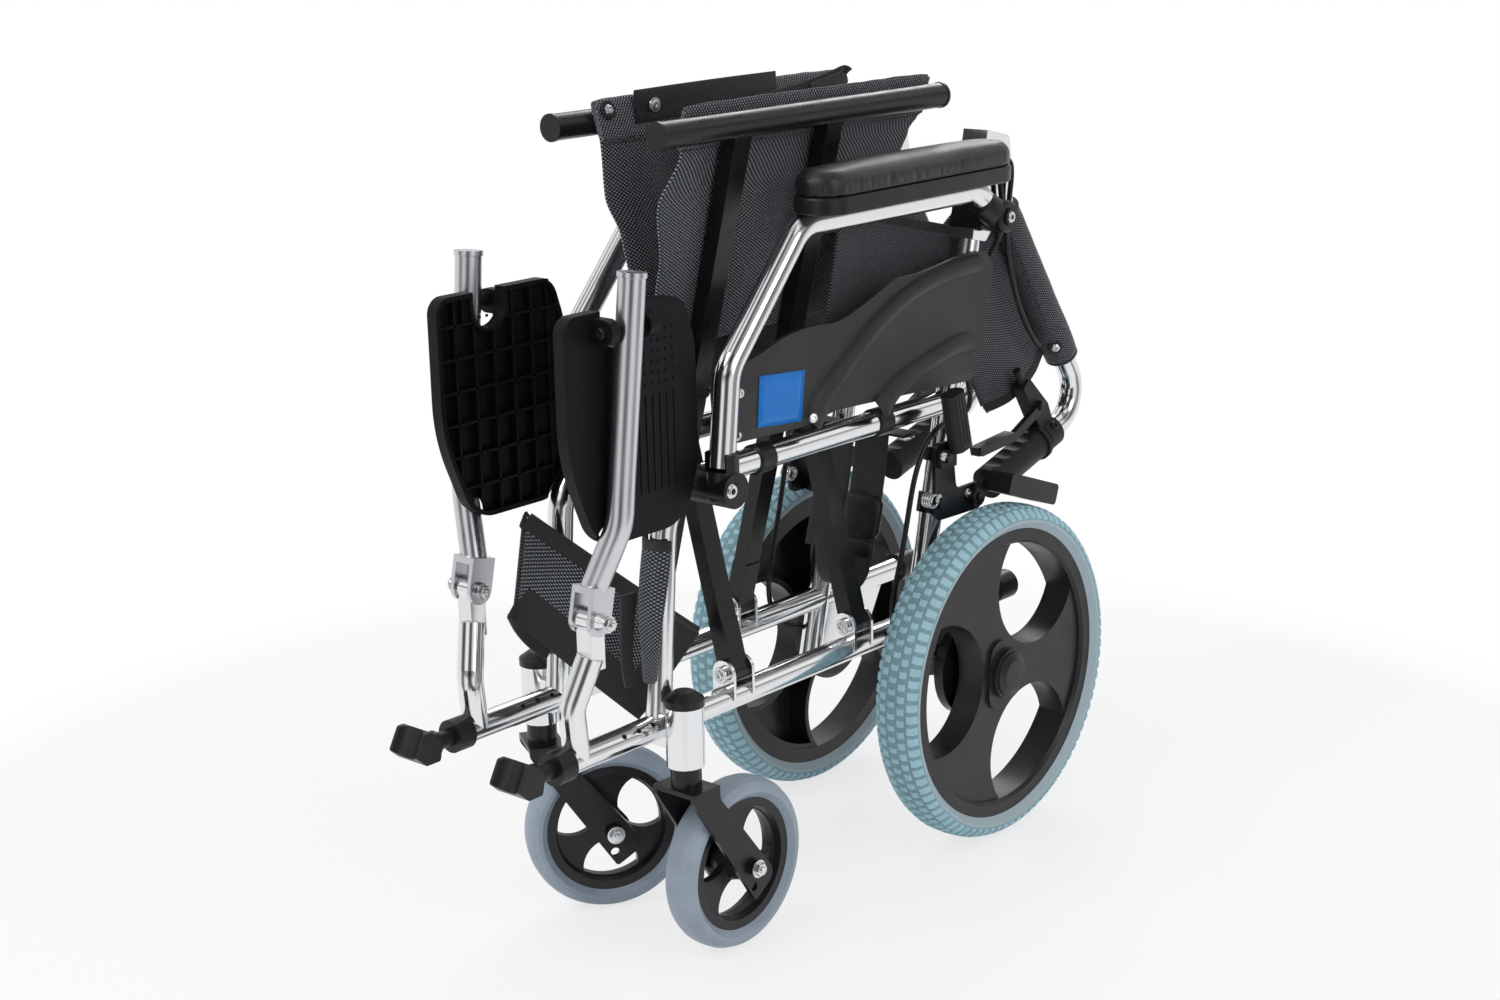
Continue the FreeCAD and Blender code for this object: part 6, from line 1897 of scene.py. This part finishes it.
# %% [markdown]
# ### Arm knuckles and bearing rings
# The arm swings on a moulded knuckle: a drum on the hinge's axis, with a cuff that takes the tube.
# Each rear hub has a brass ring on its inner side. All are turned on the lathe.

# %% Knuckles, rings and the whole set
KNUCKLE_X = 89.0


def add_knuckle(side):
    """Drum, cuff and screw where the arm swings."""
    outward = SIDES[side]
    knuckle = hinge_at("arm_flip_" + side) / MM
    head = Vector((outward * KNUCKLE_X, knuckle.y, knuckle.z))
    drum = [(0, -13.4), (12.6, -13.4), (14.8, -11.2), (14.8, 11.2), (12.6, 13.4), (0, 13.4)]
    lathe("arm_knuckle_" + side, head * MM, (outward, 0, 0), drum, BLACK_PLASTIC, 36, "arm_" + side)
    lean = Vector((0, -0.86, 0.51)).normalized()
    cuff = [(0, -2), (13.4, -2), (13.8, 6), (13.2, 31), (12.2, 33), (0, 33)]
    lathe("arm_cuff_" + side, head * MM, lean, cuff, BLACK_PLASTIC, 32, "arm_" + side)
    place = (head + Vector((outward * 13.2, 0, 0))) * MM
    screw("arm_knuckle_screw_" + side, place, (outward, 0, 0), 5.6, ZINC, "arm_" + side, washer=7.4)


def add_bearing_ring(side):
    """Brass ring on the hub's face that looks towards the middle."""
    axis = hinge_at("rear_roll_" + side) / MM
    face = -SIDES[side]
    hub = land(["rear_hub_" + side], (axis.x + face * REACH, axis.y + 8.5, axis.z), (-face, 0, 0))
    if hub is None:
        MISSED.append("bearing_ring_" + side)
        return
    ring = [(8.2, -0.4), (12.8, -0.4), (12.8, 0.6), (11.4, 1.3), (9.4, 1.3), (8.2, 0.5)]
    place = Vector((hub[1].x, axis.y * MM, axis.z * MM))
    lathe("bearing_ring_" + side, place, (face, 0, 0), ring, BRASS, 36, "wheel_" + side)


for side in SIDES:
    for step in (fasten_panel, fasten_caster, fasten_footrest, fasten_brace, fasten_brakes,
                 add_holes_and_plug, add_knuckle, add_bearing_ring):
        step(side)
print("fasteners missed", MISSED)

# %% [markdown]
# ## Small soft and flat parts
# The far hem carries a leather strap with a folded loop of webbing, held by a screw at its front.
# Both hems are screwed down through cup washers.

# %% Seat strap
def add_strap():
    """Leather strap on the far hem's inner face, with its loop."""
    def at(x, y, z):
        return Vector((-x, y, z)) * MM

    run = [at(41.6, -122, 702), at(41.0, -60, 703), at(40.8, 0, 703.5), at(41.2, 58, 703.5)]
    path = smooth_path(run, 12)
    strap = sweep("seat_strap", path, Vector((1, 0, 0)), flat_section(28.0, 1.8, 16), LEATHER, "brace_1")
    loop = [at(39.8, 26, 692), at(39.0, 80, 696), at(37.6, 130, 704), at(36.2, 148, 708), at(34.8, 149, 706),
            at(34.2, 136, 702), at(34.4, 100, 696)]
    path = smooth_path(loop, 8)
    normals = []
    for k in range(len(path)):
        run = heading(path, k).normalized()
        normals.append(Vector((run.y, -run.x, 0)).normalized())
    band = sweep("seat_strap_loop", path, normals, flat_section(15.0, 1.8, 12), BINDING, "brace_1")
    long = length_of(path)
    for label, z in (("top", 714.0), ("low", 692.0)):
        edge = [at(40.4, -118 + 172 * k / 60, z) for k in range(61)]
        stitches("strap_stitch_" + label, edge, Vector((1, 0, 0)), BINDING, "brace_1")
    screw("strap_screw", at(40.2, -100, 702), (1, 0, 0), 4.4, ZINC, "brace_1", washer=6.4)
    return long


print("strap's loop", round(add_strap(), 3), "m")


# %% Hem screws
def add_hem_screws():
    """Domed screws through cup washers, along both hems; returns how many."""
    count = 0
    for side in SIDES:
        out = seat_frame(side)[2]
        spots = (-152.0, 148.0) if side == "r" else (-140.0, 0.0, 140.0)
        for n, y in enumerate(spots):
            place = seat_point(side, y, -9.5, HEM_OUT) - out * (3.4 * MM)
            screw(f"hem_screw_{n}_{side}", place, -out, 4.4, ZINC, SEAT_BODY[side], washer=8.2,
                  washer_material=BLACK_PLASTIC)
            count += 1
    return count


print("hem screws", add_hem_screws())

# %% [markdown]
# ### Plain label
# The near panel has a blue label with nothing on it. A grid between its four corners is dropped onto
# the panel point by point, so the label bends with it.

# %% Panel label
LABEL_CORNERS = [(0.138, 0.20), (0.286, 0.16), (0.298, 0.494), (0.148, 0.53)]
LABEL_ACROSS, LABEL_UP = 8, 6


def label_share(u, v):
    """Place between the label's corners, as shares of the panel."""
    foot = [LABEL_CORNERS[0][n] * (1 - u) + LABEL_CORNERS[1][n] * u for n in (0, 1)]
    head = [LABEL_CORNERS[3][n] * (1 - u) + LABEL_CORNERS[2][n] * u for n in (0, 1)]
    return [foot[n] * (1 - v) + head[n] * v for n in (0, 1)]


def add_label():
    """Plain label following the near panel's surface."""
    low, high = box_mm("side_panel_l")
    vertices = []
    for j in range(LABEL_UP + 1):
        for i in range(LABEL_ACROSS + 1):
            share = label_share(i / LABEL_ACROSS, j / LABEL_UP)
            y, z = low.y + share[0] * (high.y - low.y), low.z + share[1] * (high.z - low.z)
            spot = land(["side_panel_l"], *from_outside("l", y, z))
            vertices.append(spot[1] + Vector((0.35 * MM, 0, 0)))
    faces = []
    row = LABEL_ACROSS + 1
    for j in range(LABEL_UP):
        for i in range(LABEL_ACROSS):
            a = j * row + i
            faces.append([a, a + 1, a + row + 1, a + row])
    label = mesh_piece("panel_label", vertices, faces, LABEL_BLUE)
    thicken = label.modifiers.new("thickness", "SOLIDIFY")
    thicken.thickness = 0.5 * MM
    thicken.offset = 0.0
    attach(label, "arm_l")
    return len(faces)


print("label faces", add_label())

# %% [markdown]
# ### Buckle
# The left belt ends in a moulded buckle, a socket and the tongue pushed into it. Each is a short sweep
# whose section grows and shrinks, which rounds its ends.

# %% Buckle
BUCKLE_HALVES = (("socket", (-12, -62), (-22, -100), 41.0, 9.5),
                 ("tongue", (-23, -102), (-28, -116), 36.0, 7.0))


def add_buckle():
    """Two moulded halves of the belt's buckle, one on each side of its release slot."""
    start = belt_start("l")
    for name, a, b, wide, thick in BUCKLE_HALVES:
        ends = [start + Vector((0, *a)) * MM, start + Vector((0, *b)) * MM]
        run = (ends[1] - ends[0]).normalized()
        path = [ends[0].lerp(ends[1], t) for t in (0.0, 0.06, 0.16, 0.84, 0.94, 1.0)]
        shares = (0.72, 0.88, 1.0, 1.0, 0.9, 0.74)
        sections = [flat_section(wide * s, thick * s, 20) for s in shares]
        sweep("buckle_" + name, path, Vector((0, -run.z, run.y)), sections, BLACK_PLASTIC, "frame_l")
    return len(BUCKLE_HALVES)


print("buckle halves", add_buckle())

# %% [markdown]
# ### Springs of the parking brakes
# A small coil pulls each parking brake back. It is a round wire swept along a helix.

# %% Brake springs
def coil(name, centre, axis, radius, wire, turns, pitch, material, body):
    """Round wire wound about an axis."""
    axis, first, second = side_axes(axis)
    path = []
    normals = []
    steps = int(turns * 20)
    for k in range(steps + 1):
        a = 2 * math.pi * k / 20
        spoke = first * math.cos(a) + second * math.sin(a)
        path.append(Vector(centre) + axis * (pitch * (k / 20 - turns / 2) * MM) + spoke * (radius * MM))
        normals.append(spoke)
    return sweep(name, path, normals, round_section(wire, 8), material, body)


for side in SIDES:
    place = Vector((SIDES[side] * 84.0, 118.0, 331.0)) * MM
    coil("park_spring_" + side, place, (1, 0, 0), 6.0, 1.0, 4.5, 2.6, ZINC, "frame_" + side)

# %% [markdown]
# ## The studio
# A camera, three soft lamps, a pale floor and a white world show the chair. None belongs to it. The
# camera looks from the front left, from a little above the seat.

# %% Camera
SENSOR, LENS = 36.0, 57.1056
AZIMUTH, ELEVATION, ROLL = math.radians(41.23), math.radians(15.24), math.radians(-1.22)
AIM = Vector((-0.05344, 0.0261, 0.32946))
DISTANCE = 2.1877


def add_camera():
    """Camera that looks at the chair from the front left, a little above."""
    back = Vector((math.sin(AZIMUTH) * math.cos(ELEVATION), -math.cos(AZIMUTH) * math.cos(ELEVATION),
                   math.sin(ELEVATION)))
    right = Vector((math.cos(AZIMUTH), math.sin(AZIMUTH), 0.0))
    up = back.cross(right)
    turned = right * math.cos(ROLL) + up * math.sin(ROLL)
    upward = up * math.cos(ROLL) - right * math.sin(ROLL)
    data = bpy.data.cameras.new("studio camera")
    data.sensor_width = SENSOR
    data.lens = LENS
    data.clip_end = 50.0
    camera = bpy.data.objects.new("studio camera", data)
    place = Matrix((turned, upward, back)).transposed().to_4x4()
    place.translation = AIM + back * DISTANCE
    camera.matrix_world = place
    show(camera)
    bpy.context.scene.camera = camera
    return camera


print("lens", round(add_camera().data.lens, 2), "mm")

# %% [markdown]
# ### Lamps
# A key, a fill and one lamp behind, which draws the far tubes off the background. They are large, so
# their shadows are soft.

# %% Lamps
def add_lamp(name, place, aim, size, watts):
    """Round soft lamp turned towards its aim."""
    data = bpy.data.lights.new(name, "AREA")
    data.shape = "DISK"
    data.size = size
    data.energy = watts
    lamp = bpy.data.objects.new(name, data)
    lamp.location = place
    lamp.rotation_euler = (Vector(aim) - Vector(place)).to_track_quat("-Z", "Y").to_euler()
    show(lamp)


add_lamp("key lamp", (-0.4, -2.4, 2.6), (0, 0, 0.3), 1.3, 34.0)
add_lamp("fill lamp", (2.6, -0.2, 1.5), (0, 0, 0.35), 1.6, 14.0)
add_lamp("back lamp", (-1.2, 2.4, 2.2), (0, 0, 0.4), 1.4, 22.0)
print("lamps", len(bpy.data.lights))

# %% [markdown]
# ### Floor
# The pale paper has to keep the chair's shadow and still end without an edge, so it shines with the
# background's white by a share that grows with the distance from the middle.

# %% Floor
PAPER_SHINE = 0.72


def make_floor_material():
    """Pale paper that keeps the shadow and fades to the background's white."""
    material, tree, shader = new_material("pale floor")
    shader.inputs["Base Color"].default_value = (0.86, 0.86, 0.87, 1.0)
    shader.inputs["Roughness"].default_value = 0.6
    shader.inputs["Specular IOR Level"].default_value = 0.2
    place = object_place(tree)
    length = tree.nodes.new("ShaderNodeVectorMath")
    length.operation = "LENGTH"
    tree.links.new(place, length.inputs[0])
    far = ramp(tree, length.outputs["Value"], 0.55, 0.98)
    rays = tree.nodes.new("ShaderNodeLightPath")
    seen = math_node(tree, "MAXIMUM", rays.outputs["Is Camera Ray"], rays.outputs["Is Glossy Ray"])
    seen = math_node(tree, "MAXIMUM", seen, rays.outputs["Is Transmission Ray"])
    white = tree.nodes.new("ShaderNodeEmission")
    white.inputs["Strength"].default_value = 1.0
    blend = tree.nodes.new("ShaderNodeMixShader")
    lift = math_node(tree, "MAXIMUM", far, PAPER_SHINE)
    tree.links.new(math_node(tree, "MULTIPLY", lift, seen), blend.inputs["Fac"])
    tree.links.new(shader.outputs[0], blend.inputs[1])
    tree.links.new(white.outputs[0], blend.inputs[2])
    tree.links.new(blend.outputs[0], tree.nodes["Material Output"].inputs["Surface"])
    return material


def add_floor():
    """Round floor just under the wheels."""
    mesh = bpy.data.meshes.new("floor")
    shape = bmesh.new()
    bmesh.ops.create_circle(shape, cap_ends=True, radius=1.0, segments=96)
    shape.to_mesh(mesh)
    shape.free()
    floor = bpy.data.objects.new("floor", mesh)
    floor.location = (0.0, 0.0, cad_box[0].z - 0.4 * MM)
    mesh.materials.append(make_floor_material())
    show(floor)
    floor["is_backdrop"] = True
    return floor


print("floor at", round(add_floor().location.z, 4), "m")

# %% [markdown]
# ### World
# The world is white to look at and to be lit by. Polished tubes would vanish into that white, so
# glossy rays alone meet a few grey panels, like the black cards of a studio.

# %% World
AROUND = [(0.0, 1.0), (0.14, 1.0), (0.17, 0.25), (0.22, 0.2), (0.25, 1.0), (0.31, 1.0), (0.335, 0.10),
          (0.40, 0.08), (0.43, 0.9), (0.50, 1.0), (0.53, 0.35), (0.60, 0.3), (0.63, 1.0), (1.0, 1.0)]
UPWARD = [(0.0, 0.9), (0.10, 0.85), (0.16, 0.22), (0.27, 0.18), (0.33, 1.0), (0.56, 1.0), (0.62, 0.25),
          (0.72, 0.2), (0.80, 1.0), (1.0, 0.8)]


def grey_steps(tree, value, stops, cool=1.0):
    """Greys read off a list of (place, level); dark ones can be a little blue."""
    node = tree.nodes.new("ShaderNodeValToRGB")
    band = node.color_ramp
    while len(band.elements) < len(stops):
        band.elements.new(0.5)
    for element, (spot, level) in zip(band.elements, stops):
        element.position = spot
        element.color = (level, level, level * cool if level < 0.9 else level, 1.0)
    tree.links.new(value, node.inputs["Fac"])
    return node.outputs["Color"]


def mirrored_panels(tree):
    """Studio panels for polished parts to mirror, placed by the world's own directions."""
    way = tree.nodes.new("ShaderNodeTexCoord").outputs["Generated"]
    compass = tree.nodes.new("ShaderNodeTexGradient")
    compass.gradient_type = "RADIAL"
    tree.links.new(way, compass.inputs["Vector"])
    around = grey_steps(tree, compass.outputs["Fac"], AROUND, cool=1.02)
    rise = tree.nodes.new("ShaderNodeSeparateXYZ")
    tree.links.new(way, rise.inputs[0])
    upward = grey_steps(tree, rise.outputs["Z"], UPWARD)
    return mix_colour(tree, 0.85, around, upward, "MULTIPLY")


# %% World's shaders
def background(tree, label, strength, colour=None):
    """One background, white unless a colour socket is given."""
    node = tree.nodes.new("ShaderNodeBackground")
    node.label = label
    node.inputs["Strength"].default_value = strength
    if colour is None:
        node.inputs["Color"].default_value = (1.0, 1.0, 1.0, 1.0)
    else:
        tree.links.new(colour, node.inputs["Color"])
    return node.outputs[0]


def pick(tree, factor, first, second):
    """The first shader where the factor is 0 and the second where it is 1."""
    node = tree.nodes.new("ShaderNodeMixShader")
    tree.links.new(factor, node.inputs["Fac"])
    tree.links.new(first, node.inputs[1])
    tree.links.new(second, node.inputs[2])
    return node.outputs[0]


def make_world():
    """White world whose light, mirrored side and seen side are set apart by the kind of ray."""
    world = bpy.data.worlds.new("studio world")
    bpy.context.scene.world = world
    world.use_nodes = True
    tree = world.node_tree
    tree.nodes.clear()
    rays = tree.nodes.new("ShaderNodeLightPath")
    lit = background(tree, "diffuse", 0.62)
    mirrored = background(tree, "mirrored", 1.0, mirrored_panels(tree))
    seen = background(tree, "seen", 1.0)
    lit_or_mirrored = pick(tree, rays.outputs["Is Glossy Ray"], lit, mirrored)
    clear = math_node(tree, "MAXIMUM", rays.outputs["Is Camera Ray"], rays.outputs["Is Transmission Ray"])
    whole = pick(tree, clear, lit_or_mirrored, seen)
    out = tree.nodes.new("ShaderNodeOutputWorld")
    tree.links.new(whole, out.inputs["Surface"])
    return tree


print("world nodes", len(make_world().nodes))
bpy.context.scene.view_settings.view_transform = "Standard"

# %% Sizes
dressed_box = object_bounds()
sizes = {"cad": [list(corner) for corner in cad_box], "dressed": [list(corner) for corner in dressed_box]}
print("cad", sizes["cad"], "dressed", sizes["dressed"])
